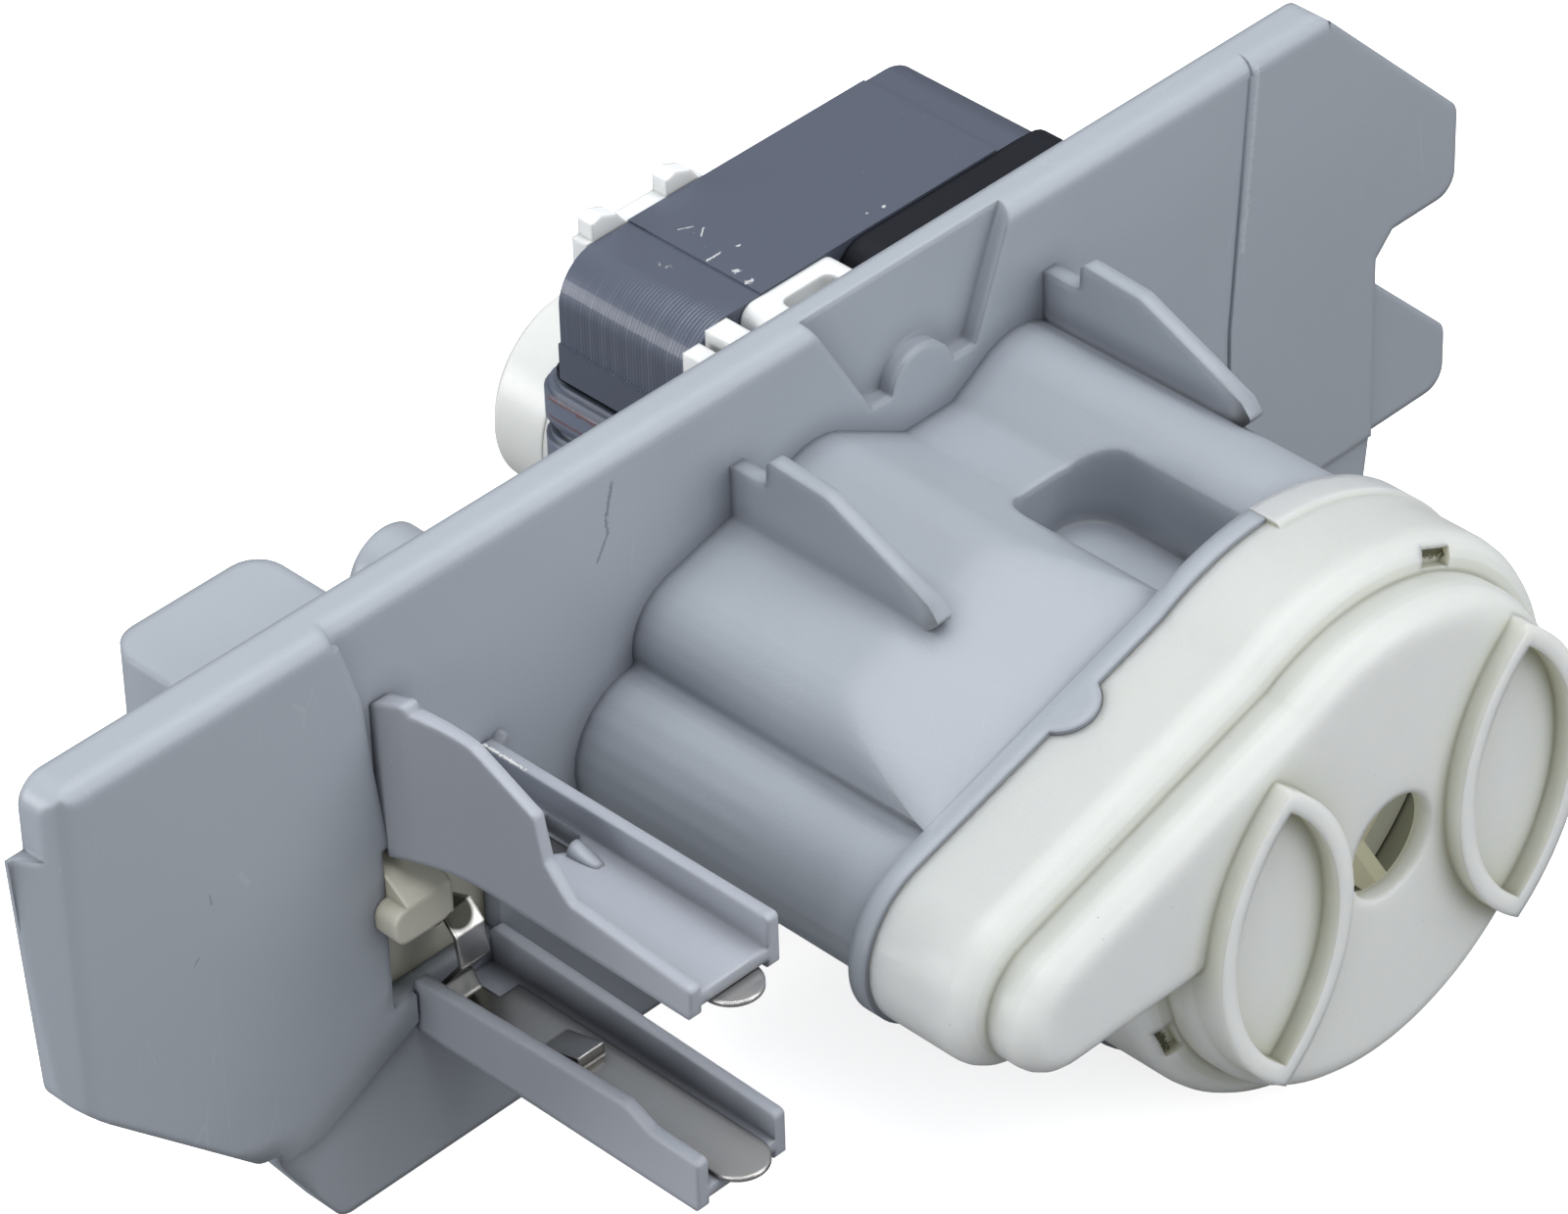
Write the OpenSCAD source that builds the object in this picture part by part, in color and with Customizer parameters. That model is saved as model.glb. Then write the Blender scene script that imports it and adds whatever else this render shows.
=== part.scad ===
// Drain pump of a clothes dryer on its carrier plate.
// X runs along the carrier, -Y points out of the pump inlet and Z is up.
// The part stands on the flange of its pump: the origin is on that surface.

/* [Carrier plate] */
// Length of the carrier plate
plate_len = 228; // [224:1:236]
// Height of the carrier plate
plate_h = 82; // [80:1:86]
// Depth at which the face of the carrier lies
plate_face = 2.5; // [1:0.1:4]
// Thickness of the moulded skin of the carrier
skin = 2.5; // [2:0.1:3]
// Depth of the rim round the carrier
rim_depth = 5; // [4.6:0.1:7]
// Height by which the left field stands proud of the middle one
field_step = 1; // [0.6:0.1:1.8]
// Depth of the sunk field above the pump
sunk_depth = 2.2; // [1.5:0.1:2.4]
// Radius of the long front edge along the top
edge_r = 2.2; // [1.5:0.1:3]

/* [Pump housing] */
// Distance of the pump shaft from the middle of the carrier
pump_x = 25; // [23:1:27]
// Height of the pump shaft above the carrier's lower edge
shaft_up = 31.5; // [31:0.5:34]
// Distance from the carrier's face to the back of the flange
housing_len = 45.4; // [43:0.1:48]
// Wall of the housing
wall = 2.5; // [2:0.1:3]
// Radius of the drum round the shaft
drum_r = 33.5; // [32.5:0.1:34]
// Radius of the outlet duct
duct_r = 6.3; // [5.5:0.1:6.5]
// Thickness of the flange
flange_t = 2.6; // [2.4:0.1:4]
// Width by which the flange shows round the cover
flange_lip = 0.5; // [0.3:0.1:1]
// Width of the pocket behind the flange
pocket_w = 17; // [15:0.5:18]
// Length of the pocket behind the flange
pocket_len = 27; // [24:0.5:29]
// Thickness of the two webs on the housing
web_t = 2.2; // [1.6:0.1:2.6]

/* [Pump cover] */
// Radius of the round chamber, measured outside
cover_r = 35.5; // [35:0.1:36.5]
// Radius of the tail end of the cover
tail_r = 11; // [10.5:0.1:11.5]
// Depth of the cover's first level
level_depth = 14; // [13:0.5:15]
// Depth of the whole cover from the seam to its face
cover_depth = 20; // [19:0.5:22]
// Wall of the cover
cover_wall = 2.4; // [2:0.1:2.8]
// Inset of the second level
level_inset = 4; // [3.5:0.1:5]
// Radius of the inlet hole
inlet_r = 6.8; // [6:0.1:8]
// Height of the two raised rims on the face
rim_h = 2.5; // [2:0.1:3]
// Wall of the raised rims
rim_t = 2.4; // [2:0.1:3]

/* [Impeller] */
// Radius of the impeller
impeller_r = 24; // [22:0.5:26]
// Number of blades
blade_count = 6; // [4:1:8]
// Thickness of a blade
blade_t = 1.8; // [1.4:0.1:2.2]
// Height of the blades
blade_h = 9; // [7:0.5:9.5]
// Free turn of the impeller on its dog to each side, in degrees
free_turn = 120; // [90:5:125]

/* [Motor] */
// Width of the laminated core
core_w = 60; // [58:1:62]
// Thickness of the laminated core
core_t = 21.5; // [20:0.5:23]
// Height of the core's top above the shaft
core_up = 47.5; // [46:0.5:49]
// Height of the core's yoke
yoke_h = 16; // [14:0.5:17]
// Width of a leg inside its winding
leg_w = 14; // [12:0.5:15]
// Thickness of the winding on a leg
coil_t = 3.4; // [3:0.1:4]
// Outer radius of the rotor can
can_r = 13.6; // [13.2:0.1:13.8]
// Wall of the rotor can
can_wall = 1.2; // [1:0.1:1.4]
// Length of the rotor can behind the carrier
can_len = 50.8; // [48:0.1:54]
// Length of the rear cap
cap_len = 9.5; // [8:0.1:11]
// Radius of the shaft
shaft_r = 2.5; // [2:0.1:3]
// Length of the magnet
magnet_len = 27; // [24:1:30]

/* [Level sensor] */
// Length of the two sensor arms
arm_len = 45; // [42:1:48]
// Outer width of a sensor arm
arm_w = 13.5; // [12.5:0.5:14]
// Wall of a sensor arm
arm_wall = 1.6; // [1.4:0.1:2]
// Height of the upper arm above the carrier's lower edge
upper_arm_up = 47.6; // [46:0.1:49]
// Height of the lower arm above the carrier's lower edge
lower_arm_up = 20; // [18:0.5:21]
// Width of an electrode
strip_w = 7.4; // [6.4:0.1:7.8]
// Thickness of an electrode
strip_t = 0.6; // [0.5:0.1:0.8]

/* [Hidden] */
$fn = 64;

// Colours as the photograph shows them
grey_plastic = [0.66, 0.69, 0.74];
white_plastic = [0.90, 0.91, 0.88];
ivory_plastic = [0.80, 0.79, 0.70];
black_plastic = [0.12, 0.13, 0.16];
core_grey = [0.30, 0.33, 0.40];
tape_blue = [0.33, 0.38, 0.48];
steel = [0.72, 0.72, 0.73];
brass_yellow = [0.80, 0.66, 0.34];
rubber_black = [0.10, 0.10, 0.11];
magnet_grey = [0.22, 0.22, 0.24];

// Clearance of a fixed seat, of a running fit and of parts that turn past each other
seat_gap = 0.1;
run_gap = 0.04;
turn_gap = 0.7;
// Overlap of a cut past the face that it opens
cut = 1;
// Sink of a piece into the piece that it is moulded to
root = 0.6;

// The pump stands on its flange, which sets the height of all else
pump_z = cover_r + flange_lip;
plate_z = pump_z - shaft_up;

// Depth planes, from the back of the carrier to the face of the cover
skin_back = plate_face + skin;
plate_back = plate_face + rim_depth;
field_front = plate_face - field_step;
sunk_front = plate_face + sunk_depth;
flange_back = plate_face - housing_len;
seam = flange_back - flange_t;
level_face = seam - level_depth;
cover_face = seam - cover_depth;

// Ends of the carrier
plate_left = -plate_len / 2;
plate_right = plate_len / 2;

// Extrudes an outline drawn in X and Z from depth y0 to depth y1
module along_y(y0, y1) {
    translate([0, y1, 0])
        rotate([90, 0, 0])
            linear_extrude(y1 - y0)
                children();
}

// Extrudes a side view drawn in Y and Z from x0 over a width w
module along_x(x0, w) {
    translate([x0, 0, 0])
        rotate([90, 0, 90])
            linear_extrude(w)
                children();
}

// Puts an outline or a solid on the pump shaft
module at_pump(y = 0) {
    translate([pump_x, y, pump_z])
        children();
}

// Outline in X and Z on the pump shaft, or above the carrier's lower edge
module on_shaft() {
    translate([pump_x, pump_z])
        children();
}

module on_plate() {
    translate([0, plate_z])
        children();
}

// Round bar along Y through a point given in X and Z
module bar(at, r, y0, y1) {
    translate([at[0], y0, at[1]])
        rotate([-90, 0, 0])
            cylinder(r = r, h = y1 - y0);
}

shaft_at = [pump_x, pump_z];

// Ring along Y on the pump shaft
module shaft_ring(r_out, r_in, y0, y1) {
    difference() {
        bar(shaft_at, r_out, y0, y1);
        bar(shaft_at, r_in, y0 - cut, y1 + cut);
    }
}

// Turns a profile of radius and depth round the pump shaft
module turned() {
    at_pump()
        rotate([-90, 0, 0])
            rotate_extrude()
                children();
}

// Two circles joined by their outer tangents
module link(a, ra, b, rb) {
    d = b - a;
    turn = atan2(d[1], d[0]);
    lean = acos((ra - rb) / norm(d));
    translate(a) circle(ra);
    translate(b) circle(rb);
    polygon([
        for (q = [[a, ra, 1], [b, rb, 1], [b, rb, -1], [a, ra, -1]])
            q[0] + q[1] * [cos(turn + q[2] * lean), sin(turn + q[2] * lean)]
    ]);
}

// Rounds the outer corners of an outline, or its inner ones
module soften(r, n = 24) {
    offset(r = r, $fn = n)
        offset(delta = -r)
            children();
}

module fill_corners(r) {
    offset(r = -r, $fn = 24)
        offset(delta = r)
            children();
}

// Carrier plate

// Corner radius, chamfer at the upper right, and the ledge on the left end
corner_r = 3;
corner_cut = 25;
left_cut = 2;
// Ledge on the left end: its height, how far it stands out and how far it leans
ledge_up = plate_h - 9.2;
ledge_w = 2.6;
end_lean = 2;
// Right end: the notch under the upper part and the wing below it
notch_w = 14.5;
notch_up = 44.5;
notch_r = 3;
wing_up = 23.5;
wing_foot = 14.6;
wing_set = 0.5;
// Lower left end, which rises from the foot to the side
end_up = 39.2;
foot_x = plate_left + 38;
foot_up = 12.5;
slope_x = plate_left + 26;
slope_up = 16.5;
// Inner edge of the left field, and the crease of the right one
field_x = plate_left + 42;
crease_x = plate_right - 37.6;
crease_step = 0.4;

module plate_outline() {
    on_plate() {
        soften(corner_r)
            polygon([
                [plate_left + end_lean, end_up],
                [plate_left, ledge_up],
                [plate_left + ledge_w, ledge_up],
                [plate_left + ledge_w, plate_h - left_cut],
                [plate_left + ledge_w + left_cut, plate_h],
                [plate_right - corner_cut, plate_h],
                [plate_right, plate_h - corner_cut],
                [plate_right, notch_up],
                [plate_right - notch_w + notch_r, notch_up],
                [plate_right - notch_w, notch_up - notch_r],
                [plate_right - notch_w, wing_up + notch_w],
                [plate_right, wing_up],
                [plate_right, wing_foot],
                [plate_right - notch_w, wing_foot],
                [plate_right - notch_w - 2, 0],
                [foot_x, 0],
                [foot_x - 8, foot_up],
                [foot_x - 9, slope_up - 0.5],
                [slope_x, slope_up],
            ]);
        // Sharp corner of the ledge
        polygon([
            [plate_left, ledge_up],
            [plate_left + corner_r + 1, ledge_up],
            [plate_left + corner_r + 1, ledge_up - 10],
            [plate_left + end_lean * 10 / (ledge_up - end_up), ledge_up - 10],
        ]);
    }
}

// Proud field at the left end
module left_field() {
    intersection() {
        plate_outline();
        on_plate()
            polygon([
                [plate_left - cut, -cut],
                [plate_left - cut, plate_h + cut],
                [field_x, plate_h + cut],
                [field_x + 3.5, plate_h - 11],
                [field_x + 4.5, plate_h - 21],
                [field_x + 8.5, 28],
                [field_x + 8.5, 22],
                [foot_x - 3, slope_up - 2],
                [foot_x - 12, slope_up - 2],
                [foot_x - 12, -cut],
            ]);
    }
}

// Field right of the crease
module right_field() {
    intersection() {
        plate_outline();
        on_plate()
            polygon([
                [crease_x, plate_h + cut],
                [crease_x - 3.4, notch_up],
                [crease_x - 3.4, wing_foot],
                [plate_right - notch_w, wing_foot],
                [plate_right - notch_w, notch_up - notch_r - 1],
                [plate_right + cut, notch_up - notch_r - 1],
                [plate_right + cut, plate_h + cut],
            ]);
    }
}

// Sunk field above the pump, with a round boss standing in its lower edge
sunk_foot = plate_h - 16;
sunk_boss = [pump_x - 4.8, sunk_foot - 0.6];
sunk_boss_r = 5;

module sunk_field() {
    on_plate()
        difference() {
            polygon([
                [pump_x - 22.9, plate_h + cut],
                [pump_x - 13.1, sunk_foot],
                [pump_x + 4.1, sunk_foot],
                [pump_x + 10.8, plate_h + cut],
            ]);
            translate(sunk_boss)
                circle(sunk_boss_r);
        }
}

// Cuts a rounded front edge along a straight top rim
round_steps = 5;
module round_edge(x0, x1, y) {
    along_x(x0, x1 - x0)
        translate([y, plate_z + plate_h])
            polygon(concat(
                [[-cut, cut], [-cut, -edge_r]],
                [for (i = [0 : round_steps])
                    [edge_r * (1 - cos(90 * i / round_steps)),
                     edge_r * (sin(90 * i / round_steps) - 1)]],
                [[edge_r, cut]]));
}

// Plan of the left end: a round front edge and a slanted wall behind it
end_slant = 5.2;
module left_end_cut() {
    x = plate_left;
    translate([0, 0, plate_z - cut])
        linear_extrude(plate_h + 2 * cut)
            polygon([
                [x - cut, field_front - cut],
                [x + end_slant + 1, field_front - cut],
                [x + end_slant + 0.4, field_front],
                [x + end_slant - 0.7, field_front + 0.3],
                [x + end_slant - 1.6, field_front + 1],
                [x + end_slant - 2.2, field_front + 1.9],
                [x + 0.6, plate_back - 0.6],
                [x - cut, plate_back - 0.4],
            ]);
}

// Screws that hold the motor bracket, as places in X and Z
screw_r = 1.5;
screw_head_r = 3.2;
screw_boss_r = 4;
screw_x = core_w / 2 + 7;
screw_spots = [for (s = [[-1, 40.5], [1, 40.5], [-1, -24], [1, -24]])
    [pump_x + s[0] * screw_x, pump_z + s[1]]];

// Height of a sensor arm's floor above the lower edges of its walls
floor_up = 1.3;

// Window between the two sensor arms
arm_x = plate_left + 51;
window_x0 = arm_x - 4;
window_x1 = arm_x + arm_w;
window_z0 = plate_z + lower_arm_up + 6;
window_z1 = plate_z + upper_arm_up + floor_up;

// Bumps on the back of the carrier
bump_at = [plate_left + 66.3, plate_z + plate_h - 14.2];
bump_r = 5.6;
bump_len = 12.5;

module carrier_plate() {
    color(grey_plastic)
    difference() {
        union() {
            // Skin and the rim round it
            difference() {
                along_y(plate_face, plate_back) plate_outline();
                along_y(skin_back, plate_back + cut) offset(delta = -skin) plate_outline();
            }
            // Proud fields, and the wall behind the slanted left end
            along_y(field_front, plate_face + root) left_field();
            along_y(plate_face - crease_step, plate_face + root) right_field();
            intersection() {
                along_y(plate_face, plate_back) plate_outline();
                translate([plate_left, plate_face, plate_z])
                    cube([ledge_w + end_slant + 1, rim_depth, plate_h]);
            }
            // Back of the sunk field
            intersection() {
                along_y(skin_back - root, sunk_front + skin)
                    offset(delta = skin) sunk_field();
                along_y(plate_face, plate_back + skin) plate_outline();
            }
            // Bosses for the screws, and a round boss beside the plug
            for (p = screw_spots)
                bar(p, screw_boss_r, skin_back - root, plate_back);
            bar(bump_at, bump_r, skin_back - root, plate_back + bump_len);
        }
        // Sunk field, and the setback of the wing
        along_y(plate_face - cut, sunk_front) sunk_field();
        translate([plate_right - notch_w, plate_face - cut, plate_z + wing_foot - cut])
            cube([notch_w + cut, wing_set + cut, wing_up + notch_w - wing_foot + cut]);
        left_end_cut();
        // Round front edge along the top, in three stretches
        round_edge(plate_left - cut, field_x, field_front);
        round_edge(field_x, crease_x, plate_face);
        round_edge(crease_x, plate_right - corner_cut + cut, plate_face - crease_step);
        // Openings for the pump's hollow, the outlet and the contacts
        along_y(plate_face - cut, plate_back + skin + cut) hollow_outline();
        bar(duct_at, nozzle_r + seat_gap, plate_face - cut, plate_back + cut);
        translate([window_x0, field_front - cut, window_z0])
            cube([window_x1 - window_x0, skin + field_step + 2 * cut, window_z1 - window_z0]);
        // Pilot holes of the screws
        for (p = screw_spots)
            bar(p, screw_r + seat_gap, skin_back - 1.2, plate_back + cut);
    }
}

// Pump housing

// Outlet duct and the lobe round it, seen from the shaft
duct_rel = [-52, 10];
duct_at = shaft_at + duct_rel;
lobe_r = duct_r + wall + 1.2;
nozzle_r = duct_r + 1.8;
// Shoulder, crown and right lobe of the housing, seen from the shaft
shoulder_rel = [-44.5, 21.8];
shoulder_r = 7.8;
crown_rel = [-22.5, 27.5];
crown_r = 8;
right_rel = [10.5, drum_r - 9];
right_r = 9;
// Floor of the valley between crown and right lobe
valley_up = 28.6;
valley_x = -3;
// Slope of the top from the shoulder to the crown
top_slope = atan2(crown_rel[1] + crown_r - shoulder_rel[1] - shoulder_r,
    crown_rel[0] - shoulder_rel[0]);
// Fall of the left top towards the flange
fall_len = 18;
fall = 6.4;
fall_steps = 16;

module housing_outline() {
    intersection() {
        on_shaft() fill_corners(0.8)
            union() {
                difference() {
                    circle(drum_r, $fn = 128);
                    translate([-drum_r, valley_up])
                        square([drum_r + right_rel[0], drum_r]);
                }
                // Lobe of the duct, shoulder and crown on the left
                link(duct_rel, lobe_r, [0, duct_rel[1]], lobe_r);
                link(shoulder_rel, shoulder_r, crown_rel, crown_r);
                polygon([shoulder_rel, crown_rel, [0, duct_rel[1]], duct_rel]);
                // Slopes of the valley
                link(crown_rel, crown_r, [valley_x - 6, valley_up - 4], 4);
                link([valley_x + 4, valley_up - 4], 4, right_rel, right_r);
                translate([valley_x - 6, valley_up - 12])
                    square([10, 12]);
            }
        translate([-plate_len, plate_z])
            square([2 * plate_len, plate_h]);
    }
}

// Hollow of the housing, which leaves the duct whole
// Solid above the falling part of the left top, moved down by an inset
module fall_cut(inset) {
    at_pump(flange_back)
        translate([crown_rel[0], 0, crown_rel[1]])
            rotate([0, -top_slope, 0])
                translate([0, 0, crown_r - inset])
                    along_x(-60, 60 + pocket_rel_x - crown_rel[0] + wall)
                        polygon(concat(
                            [[fall_len, 20]],
                            [for (i = [0 : fall_steps])
                                [fall_len * (1 - i / fall_steps),
                                 -fall * pow(i / fall_steps, 1.6)]],
                            [[-5, -fall - 4], [-5, 20]]));
}
module hollow_outline() {
    difference() {
        offset(delta = -wall) housing_outline();
        translate(duct_at) circle(lobe_r);
    }
}

// Pocket that opens upwards behind the flange; grow leaves its walls
pocket_rel_x = -13;
pocket_r = 6;
pocket_floor_r = 20.5;

module pocket(grow) {
    difference() {
        translate([pump_x + pocket_rel_x - grow, flange_back, pump_z])
            linear_extrude(cover_r + 4)
                difference() {
                    translate([0, -grow])
                        square([pocket_w + 2 * grow, pocket_len + 2 * grow]);
                    // Round back corners
                    for (m = [0, 1])
                        translate([m * (pocket_w + 2 * grow), pocket_len + grow])
                            mirror([m, 0])
                                difference() {
                                    translate([-cut, -pocket_r])
                                        square([pocket_r + cut, pocket_r + cut]);
                                    translate([pocket_r, -pocket_r])
                                        circle(pocket_r);
                                }
                }
        bar(shaft_at, pocket_floor_r - grow, flange_back - 2 * grow - cut,
            flange_back + pocket_len + 2 * grow + cut);
    }
}

// Web that stiffens the housing, drawn in depth from the face and height on the carrier
web_up = plate_h - 7.8;
web_stub_up = web_up - 3.7;
web_run = 32.5;

module housing_web(x, foot_z) {
    along_x(x - web_t / 2, web_t)
        soften(0.7)
            polygon([
                [plate_face + root, foot_z],
                [plate_face + root, plate_z + web_stub_up],
                [plate_face - 5.8, plate_z + web_stub_up],
                [plate_face - 6, plate_z + web_up],
                [plate_face - 15.2, plate_z + web_up - 0.5],
                [plate_face - web_run + 1.5, plate_z + web_up - 7.4],
                [plate_face - web_run, plate_z + web_up - 9.2],
                [plate_face - web_run + 3.2, foot_z],
            ]);
}

// Neck of the rotor can and the boss that carries it on the flange
neck_r = 8;
neck_wall = 2.4;
neck_seat = 2;
neck_boss_r = neck_r + 2.4;
neck_boss_len = 9;

// Round notch in the cover's edge, which a tongue of the flange fills
bite_rel = [-31.5, 28.9];
bite_r = 4.5;
bite_depth = 2.8;
bite_sink = 1.2;

// Seal between flange and cover
seal_inset = 1.1;
seal_w = 1.3;
seal_groove = 1.2;

// Tail of the cover: its end over the duct and its root on the disc
tail_rel = [-53, 9];
tail_root_rel = [-12, tail_rel[1] - tail_r + 17];
tail_root_r = 17;
// Inset of the second level along the lower side of the tail
tail_inset = 1.2;

// Skirt of the cover, which closes over the flange right of the shaft
skirt_t = 0.9;
skirt_r = cover_r + flange_lip - skirt_t;
skirt_x = 0.6;
skirt_run = 3;

// Outline of flange and cover, moved outwards by grow
module lid_outline(grow) {
    on_shaft() {
        circle(cover_r + grow, $fn = 96);
        link(tail_rel, tail_r + grow, tail_root_rel, tail_root_r + grow);
    }
}

// Direction of the tail's upper side, and the round of the notch made smaller by k
tail_span = tail_root_rel - tail_rel;
tail_top_turn = atan2(tail_span[1], tail_span[0]) + acos((tail_r - tail_root_r) / norm(tail_span));

module bite_round(k) {
    at_pump(seam + bite_r - bite_depth)
        translate([bite_rel[0], 0, bite_rel[1]])
            rotate([0, 90 - tail_top_turn, 0])
                translate([0, 0, -4 * bite_sink])
                    cylinder(r = bite_r - k, h = 7 * bite_sink);
}

// Edge of the lid round the notch: from sink k inside its outline to grow outside it
module lid_edge(k, grow, y1) {
    along_y(seam - 2 * bite_depth, y1)
        difference() {
            lid_outline(grow);
            offset(delta = -k) lid_outline(0);
        }
}

module sump_housing() {
    color(grey_plastic)
    difference() {
        union() {
            // Walls of the housing, open at the back and hollow behind the flange
            difference() {
                along_y(flange_back - root, plate_face) housing_outline();
                fall_cut(0);
                difference() {
                    along_y(flange_back, plate_face + cut) hollow_outline();
                    fall_cut(wall);
                }
            }
            // Walls of the pocket, inside the housing only
            intersection() {
                difference() {
                    along_y(flange_back - root, plate_face - wall) housing_outline();
                    fall_cut(0);
                }
                pocket(wall);
            }
            // Flange with room for the cover's skirt, and its tongue in the cover's notch
            along_y(seam, flange_back)
                difference() {
                    lid_outline(flange_lip);
                    intersection() {
                        on_shaft() difference() {
                            circle(cover_r + 2 * cut);
                            circle(skirt_r - seat_gap);
                        }
                        translate([pump_x + skirt_x - seat_gap, -cut])
                            square(3 * cover_r);
                    }
                }
            intersection() {
                lid_edge(bite_sink - seat_gap, flange_lip, seam + root);
                bite_round(seat_gap);
            }
            // Boss for the neck of the rotor can
            bar(shaft_at, neck_boss_r, flange_back - root, flange_back + neck_boss_len);
            // Webs on top, one on the left top and one on the right lobe
            intersection() {
                union() {
                    housing_web(pump_x - 35, pump_z + 30.6);
                    housing_web(pump_x + 16.5, pump_z + 29.8);
                }
                translate([-plate_len, seam, 0])
                    cube([2 * plate_len, plate_face - seam, 2 * plate_h]);
            }
        }
        pocket(0);
        // Shaft passage, seat of the neck and outlet duct
        bar(shaft_at, shaft_r + turn_gap, seam - cut, flange_back + neck_boss_len);
        bar(shaft_at, neck_r + seat_gap, flange_back + neck_seat - seat_gap,
            flange_back + neck_boss_len + cut);
        bar(duct_at, duct_r, seam - cut, plate_face + cut);
        // Groove for the cover seal
        along_y(seam - cut, seam + seal_groove)
            difference() {
                offset(delta = -seal_inset) lid_outline(0);
                offset(delta = -seal_inset - seal_w - 2 * seat_gap) lid_outline(0);
            }
    }
}

module outlet_nozzle() {
    // Collar on the carrier's back and a plain hose end
    collar_r = nozzle_r + 3;
    collar_y = skin_back + seat_gap;
    end_y = plate_back + 24;
    color(grey_plastic)
    translate([duct_at[0], 0, duct_at[1]])
        rotate([-90, 0, 0])
            rotate_extrude()
                polygon([
                    [duct_r, plate_face],
                    [nozzle_r, plate_face],
                    [nozzle_r, collar_y],
                    [collar_r, collar_y],
                    [collar_r, collar_y + 2.5],
                    [nozzle_r, collar_y + 2.5],
                    [nozzle_r, end_y - 1],
                    [nozzle_r - 0.8, end_y],
                    [duct_r, end_y],
                ]);
}

// Pump cover

edge_round = 3.5;

// Small blind windows in the edge of the first level: angle, size and depth
snap_angles = [65.5, 204];
snap_r = 31.9;
snap_h = 2.2;
snap_w = 5.2;
snap_deep = 1.5;

// Round disc on the shaft whose front edge is rounded, from depth y1 forward to y0
module cover_disc(r, rr, y0, y1) {
    turned()
        polygon(concat(
            [[0, y1], [r, y1]],
            [for (i = [0 : round_steps])
                [r - rr * (1 - cos(90 * i / round_steps)),
                 y0 + rr * (1 - sin(90 * i / round_steps))]],
            [[0, y0]]));
}

// The same disc round any point, as a member of the tail's hull
module tail_puck(rel, r, rr, y0, y1) {
    at_pump(y1)
        translate([rel[0], 0, rel[1]])
            rotate([90, 0, 0])
                rotate_extrude($fn = 48)
                    polygon(concat(
                        [[0, 0], [r, 0]],
                        [for (i = [0 : round_steps])
                            [r - rr * (1 - cos(90 * i / round_steps)),
                             y1 - y0 - rr * (1 - sin(90 * i / round_steps))]],
                        [[0, y1 - y0]]));
}

// One level of the cover: inset by k, and by low under the tail, from y1 forward to y0
module cover_level(k, low, rr, y0, y1) {
    small = (k + low) / 2;
    shift = (k - low) / 2;
    cover_disc(cover_r - k, rr, y0, y1);
    hull() {
        tail_puck(tail_rel + [shift, -shift], tail_r - small, rr, y0, y1);
        tail_puck(tail_root_rel - [0, shift], tail_root_r - small, rr, y0, y1);
    }
}

// Lens outline of a raised rim, made smaller by k
lens_half_w = 11;
lens_half_h = 21.5;
lens_r = (pow(lens_half_h, 2) / lens_half_w + lens_half_w) / 2;
lens_rel_x = 20.2;

module lens(k) {
    intersection_for(s = [-1, 1])
        translate([s * (lens_r - lens_half_w), 0])
            circle(lens_r - k, $fn = 128);
}

module pump_cover() {
    inner_r = edge_round - 1;
    color(white_plastic)
    difference() {
        union() {
            cover_level(0, 0, edge_round, level_face, seam);
            cover_level(level_inset, tail_inset, edge_round, cover_face, seam);
            // Skirt over the flange
            intersection() {
                turned()
                    polygon([
                        [cover_r - cut, seam - skirt_run],
                        [cover_r + flange_lip, seam - skirt_run / 2],
                        [cover_r + flange_lip, flange_back],
                        [skirt_r, flange_back],
                        [skirt_r, seam - root],
                        [cover_r - cut, seam - root],
                    ]);
                translate([pump_x + skirt_x, seam - 2 * skirt_run, -cut])
                    cube([2 * cover_r, 4 * skirt_run, 3 * cover_r]);
            }
            for (s = [-1, 1])
                along_y(cover_face - rim_h, level_face + root)
                    on_shaft() translate([s * lens_rel_x, 0])
                        difference() {
                            lens(0);
                            lens(rim_t);
                        }
        }
        // Chamber and channel inside
        cover_level(cover_wall, cover_wall, inner_r, level_face + cover_wall, seam + cut);
        cover_level(level_inset + cover_wall, tail_inset + cover_wall, inner_r,
            cover_face + cover_wall, seam + cut);
        bar(shaft_at, inlet_r, cover_face - rim_h, seam);
        // Notch in the edge
        intersection() {
            lid_edge(bite_sink, cut, seam + cut);
            bite_round(0);
        }
        for (a = snap_angles)
            at_pump(level_face + snap_deep)
                rotate([0, -a, 0])
                    translate([snap_r, -snap_deep - cut, -snap_w / 2])
                        cube([snap_h, snap_deep + cut, snap_w]);
    }
}

module cover_seal() {
    color(rubber_black)
    along_y(seam, seam + seal_groove)
        difference() {
            offset(delta = -seal_inset - seat_gap) lid_outline(0);
            offset(delta = -seal_inset - seat_gap - seal_w) lid_outline(0);
        }
}

// Motor

// Depth planes of the motor
bracket_t = 1.5;
bracket_back = plate_back + bracket_t;
core_front = bracket_back + 5.6;
core_back = core_front + core_t;
can_back = plate_back + can_len;
cap_back = can_back + cap_len;

// Core seen from the shaft
core_gap = 0.6;
pole_down = 24.5;
pole_up = 16;
pole_w = core_w / 2 - 2;
pole_slot = 1.5;
leg_x = core_w / 2 - 3 - leg_w;
core_round = 6;
ledge_h = 5;
ledge_out = 0.4;
yoke_up = core_up - yoke_h;
// Smooth band round the yoke: its ends from the shaft and how far it stands proud
band_x = [-18.5, 20.5];
band_t = 0.3;

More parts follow.
